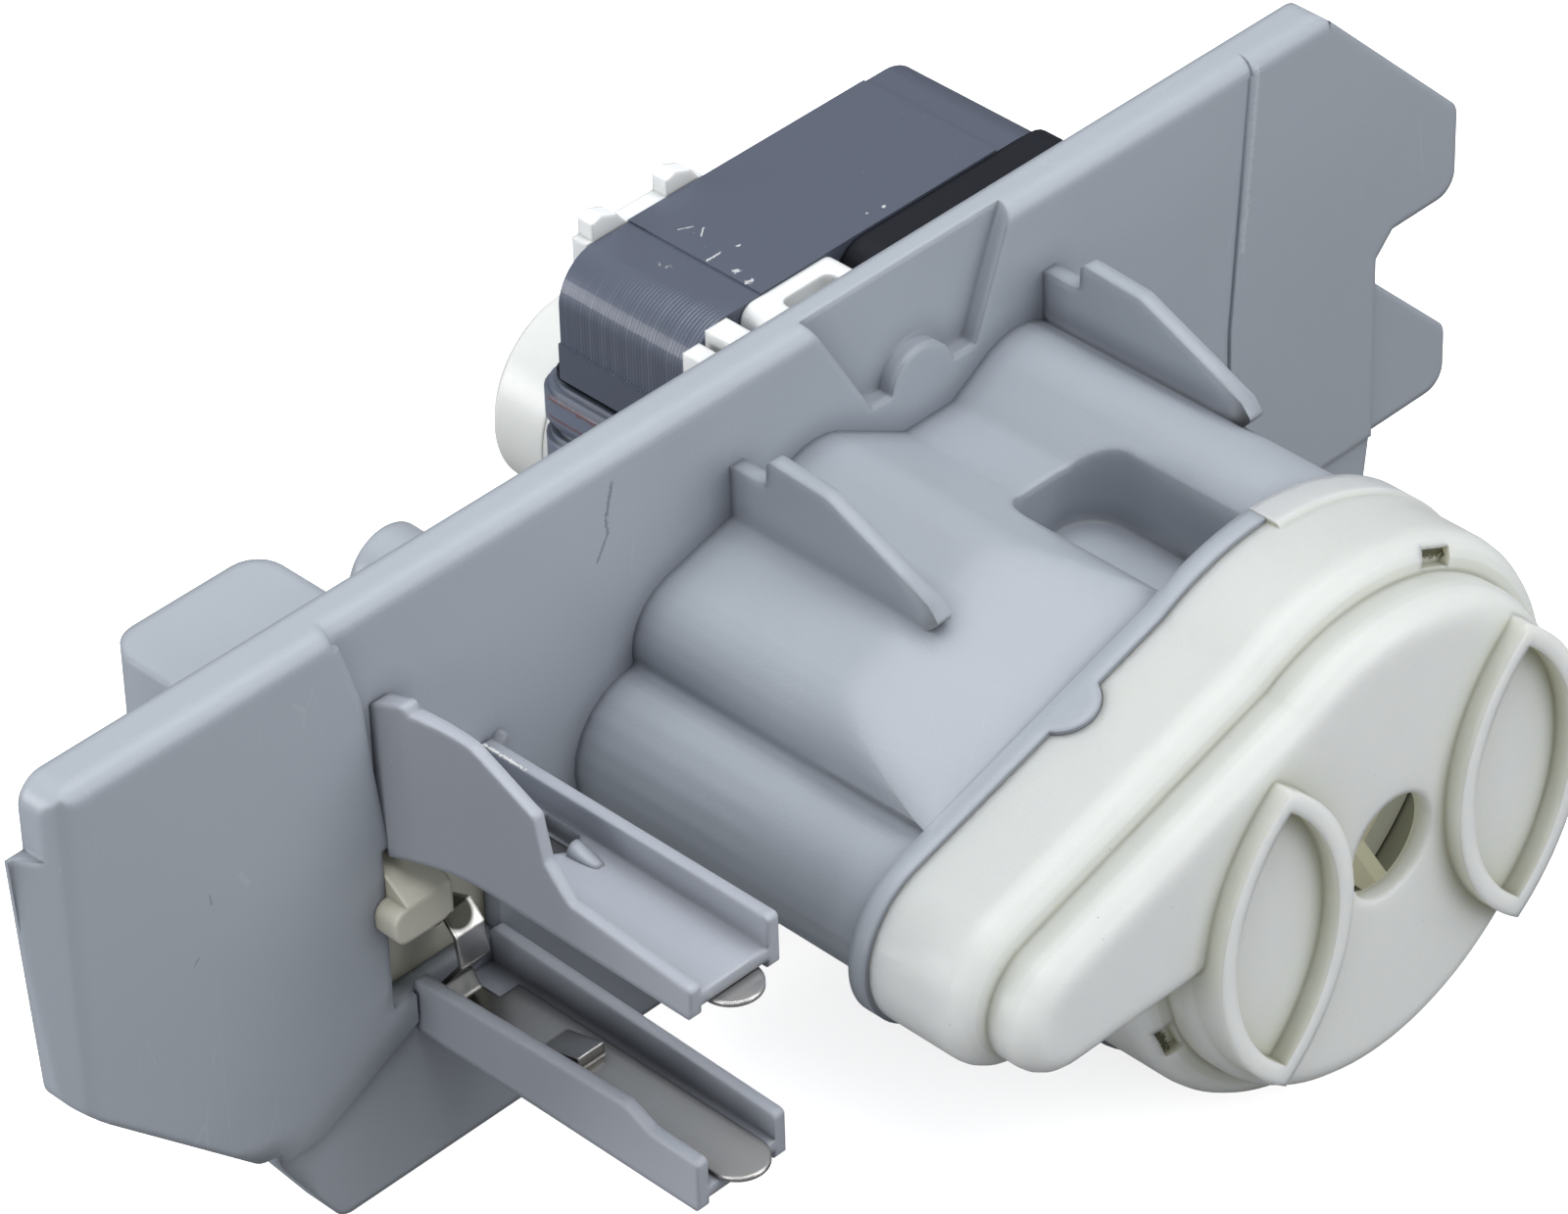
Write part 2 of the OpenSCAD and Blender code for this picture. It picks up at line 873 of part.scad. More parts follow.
module core_outline() {
    on_shaft() {
        // Yoke with round upper corners and a ledge along its foot
        difference() {
            soften(core_round, 72)
                translate([-core_w / 2, yoke_up - 2 * core_round])
                    square([core_w, yoke_h + 2 * core_round]);
            translate([-core_w, yoke_up - 3 * core_round])
                square([2 * core_w, 3 * core_round]);
        }
        translate([-core_w / 2 - ledge_out, yoke_up])
            square([core_w + 2 * ledge_out, ledge_h]);
        translate([band_x[0], core_up - 1])
            square([band_x[1] - band_x[0], 1 + band_t]);
        // Legs and pole pieces
        for (m = [0, 1])
            mirror([m, 0]) {
                translate([leg_x, 0])
                    square([leg_w, yoke_up + 1]);
                soften(5)
                    translate([pole_slot, -pole_down])
                        square([pole_w - pole_slot, pole_down + pole_up]);
            }
    }
}

module laminated_core() {
    color(core_grey)
    difference() {
        along_y(core_front, core_back) core_outline();
        bar(shaft_at, can_r + core_gap, core_front - cut, core_back + cut);
    }
}

// Bobbin of one leg; side is -1 for the left one
bobbin_t = 0.8;
bobbin_flange = 1;
bobbin_z0 = pump_z + pole_up + seat_gap;
bobbin_z1 = pump_z + yoke_up - seat_gap;
leg_mid = leg_x + leg_w / 2;
core_mid = (core_front + core_back) / 2;
tube_x = leg_w + 2 * (seat_gap + bobbin_t);
tube_y = core_t + 2 * (seat_gap + bobbin_t);

// Rectangle round the middle of a leg, with round corners where r is given
module leg_plan(side, x, y, r = 0) {
    translate([pump_x + side * leg_mid, core_mid])
        offset(r = r, $fn = 24)
            square([x - 2 * r, y - 2 * r], center = true);
}

module bobbin(side) {
    difference() {
        union() {
            translate([0, 0, bobbin_z0])
                linear_extrude(bobbin_z1 - bobbin_z0)
                    leg_plan(side, tube_x, tube_y);
            for (z = [bobbin_z0, bobbin_z1 - bobbin_flange])
                translate([0, 0, z])
                    linear_extrude(bobbin_flange)
                        leg_plan(side, tube_x + coil_t, tube_y + coil_t, 2);
        }
        translate([0, 0, bobbin_z0 - cut])
            linear_extrude(bobbin_z1 - bobbin_z0 + 2 * cut)
                leg_plan(side, leg_w + 2 * seat_gap, core_t + 2 * seat_gap);
    }
}

module left_bobbin() {
    color(black_plastic) bobbin(-1);
}

module right_bobbin() {
    color(black_plastic) bobbin(1);
}

// Taped winding: two rolls, each crowned, one above the other
module winding(side) {
    z0 = bobbin_z0 + bobbin_flange;
    h = bobbin_z1 - bobbin_z0 - 2 * bobbin_flange;
    roll = h / 2;
    difference() {
        for (i = [0, 1], layer = [[0, 2], [0.6, 0.8], [1.4, 0]])
            translate([0, 0, z0 + i * roll + layer[0]])
                linear_extrude(roll - 2 * layer[0])
                    leg_plan(side, tube_x + 2 * coil_t - layer[1],
                        tube_y + 2 * coil_t - layer[1], 4);
        translate([0, 0, z0 - cut])
            linear_extrude(h + 2 * cut)
                leg_plan(side, tube_x + seat_gap, tube_y + seat_gap);
    }
}

module left_winding() {
    color(tape_blue) winding(-1);
}

module right_winding() {
    color(tape_blue) winding(1);
}

// Front end plate and the clip beside it, in front of the yoke
end_plate_x = pump_x - 6.5;
clip_w = 15.5;
// Recess in the clip's upper edge: distance from its left end, length and depth
dent_x = 4;
dent_w = 8;
dent_deep = 2.5;

module front_end_plate() {
    x1 = pump_x + core_w / 2;
    color(black_plastic)
    along_y(bracket_back + seat_gap, core_front - seat_gap)
        on_shaft() translate([-pump_x, 0])
            soften(4)
                translate([end_plate_x + seat_gap, yoke_up])
                    square([x1 - end_plate_x - seat_gap, core_up - yoke_up]);
}

// Bracket that holds the motor: a front frame, a side wall, a back frame and a clip
frame_gap = 1.7;
back_frame_y = core_back + 0.2;
back_frame_t = 2.4;
prong_w = 5;
prong_h = 2.8;
prong_x = [-24, -12];
side_x = core_w / 2 + frame_gap;
side_t = 2;
frame_top = 44;
frame_foot = -28;
post_w = 11;
// Hooks at the core's corner: place from the shaft, width and height above the core
hooks = [[-core_w / 2 - 3.2, 2.6, 0.8], [-core_w / 2 + 0.4, 3.4, 2]];
hook_len = 3.4;

module motor_bracket() {
    color(white_plastic)
    difference() {
        union() {
            // Front frame with an ear at each screw
            along_y(plate_back, bracket_back)
                union() {
                    on_shaft() translate([-core_w / 2, frame_foot])
                        square([side_x + side_t + core_w / 2, frame_top - frame_foot]);
                    for (p = screw_spots)
                        hull() {
                            translate(p) circle(screw_head_r + 1.5, $fn = 32);
                            translate([pump_x + sign(p[0] - pump_x) * (core_w / 2 - 6), p[1]])
                                circle(screw_head_r + 1.5, $fn = 32);
                        }
                }
            // Clip beside the end plate, in front of the yoke
            along_y(bracket_back - root, core_front - seat_gap)
                on_shaft() translate([-pump_x, 0])
                    soften(2)
                        translate([end_plate_x - clip_w, frame_top - 12])
                            square([clip_w - seat_gap, core_up - frame_top + 12]);
            // Hooks at the front left corner of the core
            for (h = hooks)
                translate([pump_x + h[0], bracket_back - root, pump_z + frame_top - 4])
                    cube([h[1], hook_len + root, core_up - frame_top + 4 + h[2]]);
            // Side wall and back frame
            translate([pump_x + side_x, bracket_back - root, pump_z + frame_foot])
                cube([side_t, back_frame_y + back_frame_t - bracket_back + root,
                    yoke_up + 4 - frame_foot]);
            along_y(back_frame_y, back_frame_y + back_frame_t)
                on_shaft() {
                    circle(can_r + 4);
                    translate([-post_w / 2, 0])
                        square([post_w, yoke_up + 4]);
                    translate([prong_x[0] - 1, yoke_up + 1])
                        square([side_x + side_t - prong_x[0] + 1, 3]);
                    translate([prong_x[0] - 1, yoke_up + 1])
                        square([prong_x[1] + prong_w - prong_x[0] + 2, yoke_h - 1]);
                    // Two prongs on the upper edge
                    for (x = prong_x)
                        polygon([[x, core_up - 1], [x, core_up + prong_h - 0.5],
                            [x + 1.5, core_up + prong_h], [x + prong_w - 1, core_up + prong_h - 1],
                            [x + prong_w + 1, core_up - 1]]);
                    translate([0, -post_w / 2])
                        square([side_x + side_t, post_w]);
                }
        }
        // Passage of the rotor can, and the screw holes
        bar(shaft_at, can_r + seat_gap, plate_back - cut, back_frame_y + back_frame_t + cut);
        for (p = screw_spots)
            bar(p, screw_r + 2 * seat_gap, plate_back - cut, bracket_back + cut);
        // Recess in the clip, open towards the carrier
        translate([0, 0, pump_z + core_up - dent_deep])
            linear_extrude(dent_deep + cut)
                soften(1.2)
                    translate([end_plate_x - clip_w + dent_x, plate_back])
                        square([dent_w, core_front - plate_back - 2.4]);
        // Two windows in the front frame
        for (s = [-1, 1])
            translate([pump_x + s * leg_mid - 5, plate_back - cut, pump_z + pole_up])
                cube([10, bracket_t + 2 * cut, yoke_up - pole_up]);
    }
}

module bracket_screws() {
    color(steel)
    for (p = screw_spots) {
        bar(p, screw_r, skin_back - 1, bracket_back + 0.5);
        difference() {
            bar(p, screw_head_r, bracket_back, bracket_back + 2);
            // Cross recess
            for (a = [0, 90])
                translate([p[0], bracket_back + 2, p[1]])
                    rotate([0, a, 0])
                        cube([3.6, 2, 0.8], center = true);
        }
    }
}

// Terminal base behind the right winding, with two spade terminals
tab_w = 6.3;
tab_t = 0.8;
tab_len = 9;
base_w = 20;
base_h = 8;
base_y = core_mid + tube_y / 2 + coil_t + seat_gap;
base_t = 4;
base_z = bobbin_z0 + bobbin_flange;
tab_z = base_z + base_h / 2 - tab_t / 2;
base_x = pump_x + leg_mid;
tab_xs = [for (s = [-1, 1]) base_x + s * base_w / 4 - tab_w / 2];

module terminal_base() {
    color(white_plastic)
    difference() {
        translate([0, 0, base_z])
            linear_extrude(base_h)
                translate([base_x - base_w / 2, base_y])
                    soften(1)
                        square([base_w, base_t]);
        for (x = tab_xs)
            translate([x - seat_gap / 2, base_y - cut, tab_z - seat_gap / 2])
                cube([tab_w + seat_gap, base_t + 2 * cut, tab_t + seat_gap]);
    }
}

module terminal_tabs() {
    color(brass_yellow)
    for (x = tab_xs)
        translate([x, base_y + 1, tab_z])
            difference() {
                cube([tab_w, base_t - 1 + tab_len, tab_t]);
                translate([tab_w / 2, base_t - 1 + tab_len - 3, -cut])
                    cylinder(r = 0.9, h = tab_t + 2 * cut);
            }
}

// Rotor can: a neck through the housing, a front collar and a thin-walled can
collar_t = 2;
can_in_r = can_r - can_wall;
neck_front = flange_back + neck_seat;
bearing_len = 8;
bearing_r = neck_r - neck_wall;

module rotor_can() {
    color(white_plastic)
    turned()
        polygon([
            [bearing_r, neck_front],
            [neck_r, neck_front],
            [neck_r, plate_back - seat_gap - collar_t],
            [can_r + 3, plate_back - seat_gap - collar_t],
            [can_r + 3, plate_back - seat_gap],
            [can_r, plate_back - seat_gap],
            [can_r, can_back],
            [can_in_r, can_back],
            [can_in_r, plate_back + 0.5],
            [shaft_r + turn_gap, plate_back + 0.5],
            [shaft_r + turn_gap, neck_front + bearing_len + 2 * seat_gap],
            [bearing_r, neck_front + bearing_len + 2 * seat_gap],
        ]);
}

// Rear cap with a spigot in the can and a seat for the rear bearing
spigot_len = 4;
cap_wall = 2.2;

module rear_cap() {
    spigot_r = can_in_r - seat_gap;
    color(white_plastic)
    turned()
        polygon([
            [bearing_r, can_back - spigot_len],
            [spigot_r, can_back - spigot_len],
            [spigot_r, can_back + seat_gap],
            [can_r, can_back + seat_gap],
            [can_r, cap_back - 1],
            [can_r - 1, cap_back],
            [0, cap_back],
            [0, cap_back - cap_wall],
            [bearing_r, cap_back - cap_wall],
        ]);
}

module bearing(y0) {
    shaft_ring(bearing_r - seat_gap, shaft_r + run_gap, y0, y0 + bearing_len);
}

module front_bearing() {
    color(steel) bearing(neck_front + seat_gap);
}

rear_bearing_front = cap_back - cap_wall - seat_gap - bearing_len;

module rear_bearing() {
    color(steel) bearing(rear_bearing_front);
}

// Rotor
magnet_r = can_in_r - turn_gap;
rotor_core_r = shaft_r + 3;
magnet_front = core_mid - magnet_len / 2;

// Impeller between the flange and the inner face of the cover
plate_t = 1.6;
impeller_back = seam - 1.2;
blade_back = impeller_back - plate_t;
blade_front = blade_back - blade_h;
hub_r = 9;
hub_in_r = 7.2;
hub_front = blade_front + 1;
dog_r = 4;
cap_t = 1.2;
dog_front = hub_front + cap_t + turn_gap;
dog_back = blade_back - turn_gap;

module rotor_shaft() {
    color(steel)
    bar(shaft_at, shaft_r, dog_front, cap_back - cap_wall - turn_gap);
}

module rotor_core() {
    color(black_plastic)
    shaft_ring(rotor_core_r, shaft_r, magnet_front, magnet_front + magnet_len);
}

module rotor_magnet() {
    color(magnet_grey)
    shaft_ring(magnet_r, rotor_core_r, magnet_front, magnet_front + magnet_len);
}

// Sector of a disc on the shaft, width in degrees, centred on angle a
module sector(r, width, a) {
    rotate(a)
        intersection() {
            circle(r);
            polygon([[0, 0], 2 * r * [cos(width / 2), -sin(width / 2)], [2 * r, 0],
                2 * r * [cos(width / 2), sin(width / 2)]]);
        }
}

// Width of the dog's lug and of the impeller's lug, which leave the free turn
lug_width = 180 - free_turn - 6;

module drive_dog() {
    color(black_plastic)
    difference() {
        along_y(dog_front, dog_back)
            on_shaft() {
                circle(dog_r);
                sector(hub_in_r - turn_gap, lug_width, 90);
            }
        bar(shaft_at, shaft_r, dog_front - cut, dog_back + cut);
    }
}

module impeller() {
    color(white_plastic)
    difference() {
        union() {
            bar(shaft_at, impeller_r, blade_back, impeller_back);
            bar(shaft_at, hub_r, hub_front, blade_back + root);
            // Blades, curved like those of a pump that turns either way
            along_y(blade_front, blade_back + root)
                on_shaft()
                    for (i = [0 : blade_count - 1])
                        rotate(360 * i / blade_count)
                            translate([hub_r - 1, -blade_t / 2])
                                square([impeller_r - hub_r, blade_t]);
        }
        // Room for the dog, which keeps the impeller's own lug
        difference() {
            bar(shaft_at, hub_in_r, blade_front - cut, blade_back);
            along_y(hub_front + cap_t, blade_back + cut)
                on_shaft() difference() {
                    sector(hub_in_r + cut, lug_width, -90);
                    circle(dog_r + turn_gap);
                }
        }
        bar(shaft_at, shaft_r + run_gap, blade_back - cut, impeller_back + cut);
    }
}

// Cap that closes the hub in front, with a round nose
module impeller_cap() {
    nose = 1.6;
    color(white_plastic)
    turned()
        polygon([
            [0, hub_front + cap_t],
            [hub_in_r - seat_gap, hub_front + cap_t],
            [hub_in_r - seat_gap, hub_front],
            [4, hub_front - nose],
            [0, hub_front - nose],
        ]);
}

// Level sensor

// Wall of a channel drawn in depth from the carrier's face and height above the arm
module channel_wall(x, up, w, pts) {
    along_x(x, w)
        translate([plate_face, plate_z + up])
            soften(0.6)
                polygon(pts);
}

// Floor of a channel
module channel_floor(up) {
    translate([arm_x + root, plate_face - arm_len, plate_z + up + floor_up])
        cube([arm_w - 2 * root, arm_len, arm_wall]);
}

// The near wall of the upper arm rises to a shield that flares beside the carrier
flare = 3.6;
flare_len = 13;

module upper_sensor_arm() {
    color(grey_plastic)
    difference() {
        union() {
            channel_floor(upper_arm_up);
            intersection() {
                channel_wall(arm_x - flare, upper_arm_up, arm_wall + flare, [
                    [0, 0],
                    [0, 21.4],
                    [-3.6, 21.6],
                    [-4, 20.6],
                    [-12, 19.4],
                    [-21.5, 15],
                    [-22.8, 9.5],
                    [-26.5, 5.6],
                    [-arm_len, 4.2],
                    [-arm_len, 0],
                ]);
                // Plan of the wall, curved outwards at the carrier
                translate([arm_x, plate_face, plate_z])
                    linear_extrude(plate_h)
                        polygon(concat(
                            [for (i = [0 : round_steps])
                                [-flare * pow(1 - i / round_steps, 2),
                                 -flare_len * i / round_steps]],
                            [[0, -arm_len - cut], [arm_wall, -arm_len - cut],
                             [arm_wall, -flare_len]],
                            [for (i = [round_steps : -1 : 0])
                                [arm_wall - (flare - 1) * pow(1 - i / round_steps, 2),
                                 -flare_len * i / round_steps]]));
            }
            channel_wall(arm_x + arm_w - arm_wall, upper_arm_up, arm_wall, [
                [0, 0],
                [0, 6.6],
                [-arm_len, 7],
                [-arm_len, 0],
            ]);
        }
        // The flare ends at the carrier's proud field
        along_y(field_front, plate_face + cut) left_field();
        // Slot in the floor with a pointed end
        translate([0, 0, plate_z + upper_arm_up - cut])
            linear_extrude(floor_up + arm_wall + 2 * cut)
                translate([arm_x + 7, plate_face - 18])
                    polygon([[0, 7], [0, 1.6], [2.2, 0], [4.5, 1.6], [4.5, 7]]);
    }
}

module lower_sensor_arm() {
    color(grey_plastic)
    union() {
        channel_floor(lower_arm_up);
        channel_wall(arm_x, lower_arm_up, arm_wall, [
            [0, 0],
            [0, 7.4],
            [-33.5, 9],
            [-37.5, 7.2],
            [-arm_len, 7],
            [-arm_len, 0],
        ]);
        channel_wall(arm_x + arm_w - arm_wall, lower_arm_up, arm_wall, [
            [0, 0],
            [0, 7.6],
            [-arm_len, 6.4],
            [-arm_len, 0],
        ]);
    }
}

// Electrodes: stainless strips with a round end that stands past the arm's tip
strip_x = arm_x + arm_w / 2;
strip_end_y = plate_face - arm_len + 0.6;
strip_end_r = strip_w / 2;
upper_strip_z = plate_z + upper_arm_up + floor_up - strip_t - seat_gap;
lower_strip_z = plate_z + lower_arm_up + floor_up + arm_wall + seat_gap;

module strip(z, y1) {
    translate([strip_x - strip_w / 2, strip_end_y, z])
        cube([strip_w, y1 - strip_end_y, strip_t]);
    translate([strip_x, strip_end_y, z])
        cylinder(r = strip_end_r, h = strip_t);
}

module upper_electrode() {
    color(steel)
    strip(upper_strip_z, block_front - seat_gap);
}

// Points on both sides of a bent strip's middle line
function bend_dir(p, i) =
    let (d = p[min(i + 1, len(p) - 1)] - p[max(i - 1, 0)]) [-d[1], d[0]] / norm(d);
function bent(p, t) = concat(
    [for (i = [0 : len(p) - 1]) p[i] + bend_dir(p, i) * t / 2],
    [for (i = [len(p) - 1 : -1 : 0]) p[i] - bend_dir(p, i) * t / 2]);

// The root of the lower electrode is bent to a spring that meets the contacts
spring_w = 4.4;
// Tab bent up out of the lower strip: its place, width, length and rise
tab_up_y = plate_face - 21.5;
tab_up_w = 4;
tab_up_len = 6;
tab_up_rise = 1.6;
spring_x = strip_x - strip_w / 2;
module lower_electrode() {
    z = lower_strip_z + strip_t / 2;
    color(steel)
    union() {
        strip(lower_strip_z, plate_face - 6);
        along_x(strip_x - tab_up_w / 2, tab_up_w)
            polygon([
                [tab_up_y, z - strip_t / 2],
                [tab_up_y + tab_up_len, z + strip_t / 2],
                [tab_up_y, z + strip_t / 2 + tab_up_rise],
            ]);
        along_x(spring_x, spring_w)
            polygon(bent([
                [plate_face - 7, z],
                [plate_face - 3, z],
                [plate_face - 1.4, z + 2.2],
                [plate_face - 4.6, z + 6.5],
                [plate_face - 4, z + 10.5],
                [plate_face - 2, z + 12.6],
                [plate_face + 0.6, z + 11.6],
                [block_front - seat_gap - strip_t, z + 8],
            ], strip_t));
    }
}

// Ivory block that carries the contacts, with a nose beside the spring
block_front = skin_back + seat_gap;
block_len = 13;
nose_w = spring_x - window_x0 - 0.4;
nose_h = 4.6;
nose_down = 11;
nose_z = window_z1 - nose_down;
nose_len = 3.5;
// The block stands past the window by this much at its lower and right sides
block_over = 2.5;

module contact_block() {
    x0 = window_x0 + seat_gap;
    color(ivory_plastic)
    difference() {
        union() {
            translate([x0, block_front, window_z0 - block_over])
                cube([window_x1 - window_x0 + block_over - seat_gap, block_len,
                    window_z1 - window_z0 + block_over - seat_gap]);
            // Nose that falls towards its tip
            along_x(x0, nose_w)
                soften(0.6)
                    polygon([
                        [block_front + 2, nose_z],
                        [field_front - nose_len, nose_z],
                        [field_front - nose_len, nose_z + nose_h],
                        [block_front - 1, window_z1 - seat_gap - 1.5],
                        [block_front + 2, window_z1 - seat_gap - 1.5],
                    ]);
            // Round end of the nose, which hooks over the carrier's face
            along_y(field_front - nose_len, field_front - seat_gap)
                soften(1.8)
                    translate([x0 - 2, nose_z])
                        square([nose_w + 2, nose_h]);
        }
        // Seats of the two contact pins
        for (z = pin_zs)
            bar([strip_x, z], pin_r + seat_gap / 2, block_front - cut, block_front + block_len + cut);
    }
}

pin_r = 1.2;
pin_zs = [lower_strip_z + 8, upper_strip_z - 2.5];
module contact_pins() {
    color(brass_yellow)
    for (z = pin_zs)
        bar([strip_x, z], pin_r, block_front, block_front + block_len + 7);
}

// Hood over the plug, moulded on the back of the carrier
hood_x = plate_left + 29.8;
hood_w = 22.5;
hood_depth = 17.5;
hood_down = 6.5;
hood_top = plate_h - hood_down;
hood_clear = 2.6;
hood_h = hood_top - upper_arm_up - floor_up - hood_clear;

module plug_hood() {
    color(grey_plastic)
    translate([0, 0, plate_z + hood_top - hood_h])
        difference() {
            linear_extrude(hood_h)
                soften(4)
                    translate([hood_x, skin_back])
                        square([hood_w, hood_depth + plate_back - skin_back]);
            translate([0, 0, -cut])
                linear_extrude(hood_h - skin + cut)
                    translate([hood_x + skin, skin_back + skin])
                        square([hood_w - 2 * skin, hood_depth + plate_back - skin_back - 2 * skin]);
        }
}

carrier_plate();
sump_housing();
upper_sensor_arm();
lower_sensor_arm();
upper_electrode();
lower_electrode();
contact_block();
contact_pins();
plug_hood();
outlet_nozzle();
pump_cover();
cover_seal();
rotor_can();
rear_cap();
front_bearing();
rear_bearing();
laminated_core();
left_bobbin();
right_bobbin();
left_winding();
right_winding();
front_end_plate();
motor_bracket();
bracket_screws();
terminal_base();
terminal_tabs();
rotor_shaft();
rotor_core();
rotor_magnet();
drive_dog();
impeller();
impeller_cap();
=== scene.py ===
import math
import bmesh
import bpy
from mathutils import Matrix, Vector


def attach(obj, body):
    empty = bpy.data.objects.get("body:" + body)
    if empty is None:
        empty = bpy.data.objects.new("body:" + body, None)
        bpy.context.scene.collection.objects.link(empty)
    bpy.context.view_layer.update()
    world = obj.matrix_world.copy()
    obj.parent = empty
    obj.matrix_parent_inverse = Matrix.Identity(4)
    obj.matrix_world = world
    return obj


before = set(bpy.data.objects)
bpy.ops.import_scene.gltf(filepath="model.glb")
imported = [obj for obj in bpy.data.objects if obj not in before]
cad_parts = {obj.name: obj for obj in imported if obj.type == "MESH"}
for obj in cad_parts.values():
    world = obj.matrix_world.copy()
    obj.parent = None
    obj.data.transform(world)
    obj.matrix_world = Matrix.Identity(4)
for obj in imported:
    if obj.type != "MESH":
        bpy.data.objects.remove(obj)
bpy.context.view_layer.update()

# Camera
# A long lens stands to the left, in front and above, as the pump lies in the photograph.
# The picture leans by less than two degrees, which is the camera's roll.
azimuth, elevation, roll = (math.radians(a) for a in (-44.35, 37.80, -1.78))
back = Vector((math.sin(azimuth) * math.cos(elevation),
               -math.cos(azimuth) * math.cos(elevation), math.sin(elevation)))
right = Vector((0, 0, 1)).cross(back).normalized()
up = back.cross(right)
right, up = (right * math.cos(roll) + up * math.sin(roll),
             up * math.cos(roll) - right * math.sin(roll))
lens = bpy.data.cameras.new("long_lens")
lens.lens = 178.07
lens.sensor_width = 36
lens.clip_start = 0.05
lens.clip_end = 20
camera = bpy.data.objects.new("camera", lens)
bpy.context.scene.collection.objects.link(camera)
camera_at = (-0.4946, -0.5002, 0.5958)
camera_turn = Matrix((right, up, back)).transposed().to_4x4()
camera.matrix_world = Matrix.Translation(camera_at) @ camera_turn
bpy.context.scene.camera = camera

# Floor
# A seamless white sheet under the part. It throws little light back at the undersides,
# as a small part on a wide table sees it.
floor_half, floor_drop = 3.0, 0.0006
floor_mesh = bpy.data.meshes.new("floor")
floor_mesh.from_pydata([(x * floor_half, y * floor_half, -floor_drop)
                        for x, y in ((-1, -1), (1, -1), (1, 1), (-1, 1))], [], [(0, 1, 2, 3)])
floor = bpy.data.objects.new("floor", floor_mesh)
bpy.context.scene.collection.objects.link(floor)


def add(tree, kind, values=None, **links):
    """A node of one kind, with values for its settings and sockets, and links by socket."""
    node = tree.nodes.new("ShaderNode" + kind)
    for key, value in (values or {}).items():
        if hasattr(node, key):
            setattr(node, key, value)
        else:
            node.inputs[int(key) if key.isdigit() else key].default_value = value
    for key, source in links.items():
        key = key.replace("_", " ")
        tree.links.new(source, node.inputs[int(key[1:]) if key[1:].isdigit() else key])
    return node


def blend_node(tree, how, factor, a, b):
    """A colour mix whose inputs are sockets, numbers or colours."""
    node = tree.nodes.new("ShaderNodeMix")
    node.data_type = "RGBA"
    node.blend_type = how
    for key, value in (("Factor", factor), ("A", a), ("B", b)):
        socket = [s for s in node.inputs if s.name == key and s.enabled][0]
        if isinstance(value, bpy.types.NodeSocket):
            tree.links.new(value, socket)
        else:
            socket.default_value = value
    return [s for s in node.outputs if s.enabled][0]


paper = bpy.data.materials.new("white_paper")
paper.use_nodes = True
tree = paper.node_tree
sheet = tree.nodes["Principled BSDF"]
seen = add(tree, "LightPath").outputs["Is Camera Ray"]
tree.links.new(blend_node(tree, "MIX", seen, (0.14, 0.14, 0.145, 1), (0.95, 0.95, 0.95, 1)),
               sheet.inputs["Base Color"])
tree.links.new(blend_node(tree, "MIX", seen, (0, 0, 0, 1), (0.74, 0.74, 0.74, 1)),
               sheet.inputs["Emission Color"])
for key, value in (("Emission Strength", 1.0), ("Roughness", 0.9), ("Specular IOR Level", 0.1)):
    sheet.inputs[key].default_value = value
floor_mesh.materials.append(paper)

# Light
# A wide soft box above, weaker ones in front and at the left, and a low one behind at the
# left, which lights the sides of the motor and of the hood. The room adds an even light.
room = bpy.data.worlds.new("room")
bpy.context.scene.world = room
room.use_nodes = True
tree = room.node_tree
sky = tree.nodes["Background"]
sky.inputs["Strength"].default_value = 0.36
# Shiny metal mirrors a darker ceiling over a bright wall, all else has the same light round it
height_in_room = add(tree, "SeparateXYZ", Vector=add(tree, "TexCoord").outputs["Generated"])
wall = add(tree, "ValToRGB", Fac=height_in_room.outputs["Z"])
band = wall.color_ramp
band.elements[0].position, band.elements[0].color = 0.0, (0.7, 0.7, 0.7, 1)
band.elements[1].position, band.elements[1].color = 0.2, (0.4, 0.4, 0.4, 1)
for position, tone in ((0.42, 0.45), (0.58, 1.2), (0.75, 0.9), (0.95, 0.5)):
    band.elements.new(position).color = (tone, tone, tone, 1)
ray = add(tree, "LightPath")
even_light = blend_node(tree, "MIX", ray.outputs["Is Glossy Ray"], (0.97, 0.985, 1.0, 1),
                        wall.outputs["Color"])
# Seen directly, past the floor's far edge, the room is as white as the sheet
tree.links.new(
    blend_node(tree, "MIX", ray.outputs["Is Camera Ray"], even_light, (2.8, 2.8, 2.8, 1)),
    sky.inputs["Color"])
middle = Vector((0, 0, 0.04))
for name, place, size, power in (("top_box", (0.05, -0.15, 1.1), 1.2, 14.0),
                                 ("front_box", (0.55, -1.1, 0.45), 0.9, 6.0),
                                 ("left_box", (-1.2, -0.25, 0.3), 0.5, 3.4),
                                 ("side_box", (-1.1, 0.8, 0.25), 0.5, 9.0)):
    box = bpy.data.lights.new(name, "AREA")
    box.size = size
    box.energy = power
    lamp = bpy.data.objects.new(name, box)
    lamp.location = place
    lamp.rotation_euler = (middle - Vector(place)).to_track_quat("-Z", "Y").to_euler()
    bpy.context.scene.collection.objects.link(lamp)
bpy.context.scene.view_settings.view_transform = "Standard"

# Carrier plate
# One long injection moulding in blue-grey polypropylene, with a soft sheen, faint flow
# marks and a few fine scratches on its face. Its edges are broken by the tool's radius.


def socket_group(name, ins, outs):
    """A shader node group with named sockets, each given as kind, name and value."""
    group = bpy.data.node_groups.new(name, "ShaderNodeTree")
    for kind, socket, value in ins:
        made = group.interface.new_socket(socket, in_out="INPUT", socket_type="NodeSocket" + kind)
        made.default_value = value
    for kind, socket in outs:
        group.interface.new_socket(socket, in_out="OUTPUT", socket_type="NodeSocket" + kind)
    return group, group.nodes.new("NodeGroupInput"), group.nodes.new("NodeGroupOutput")


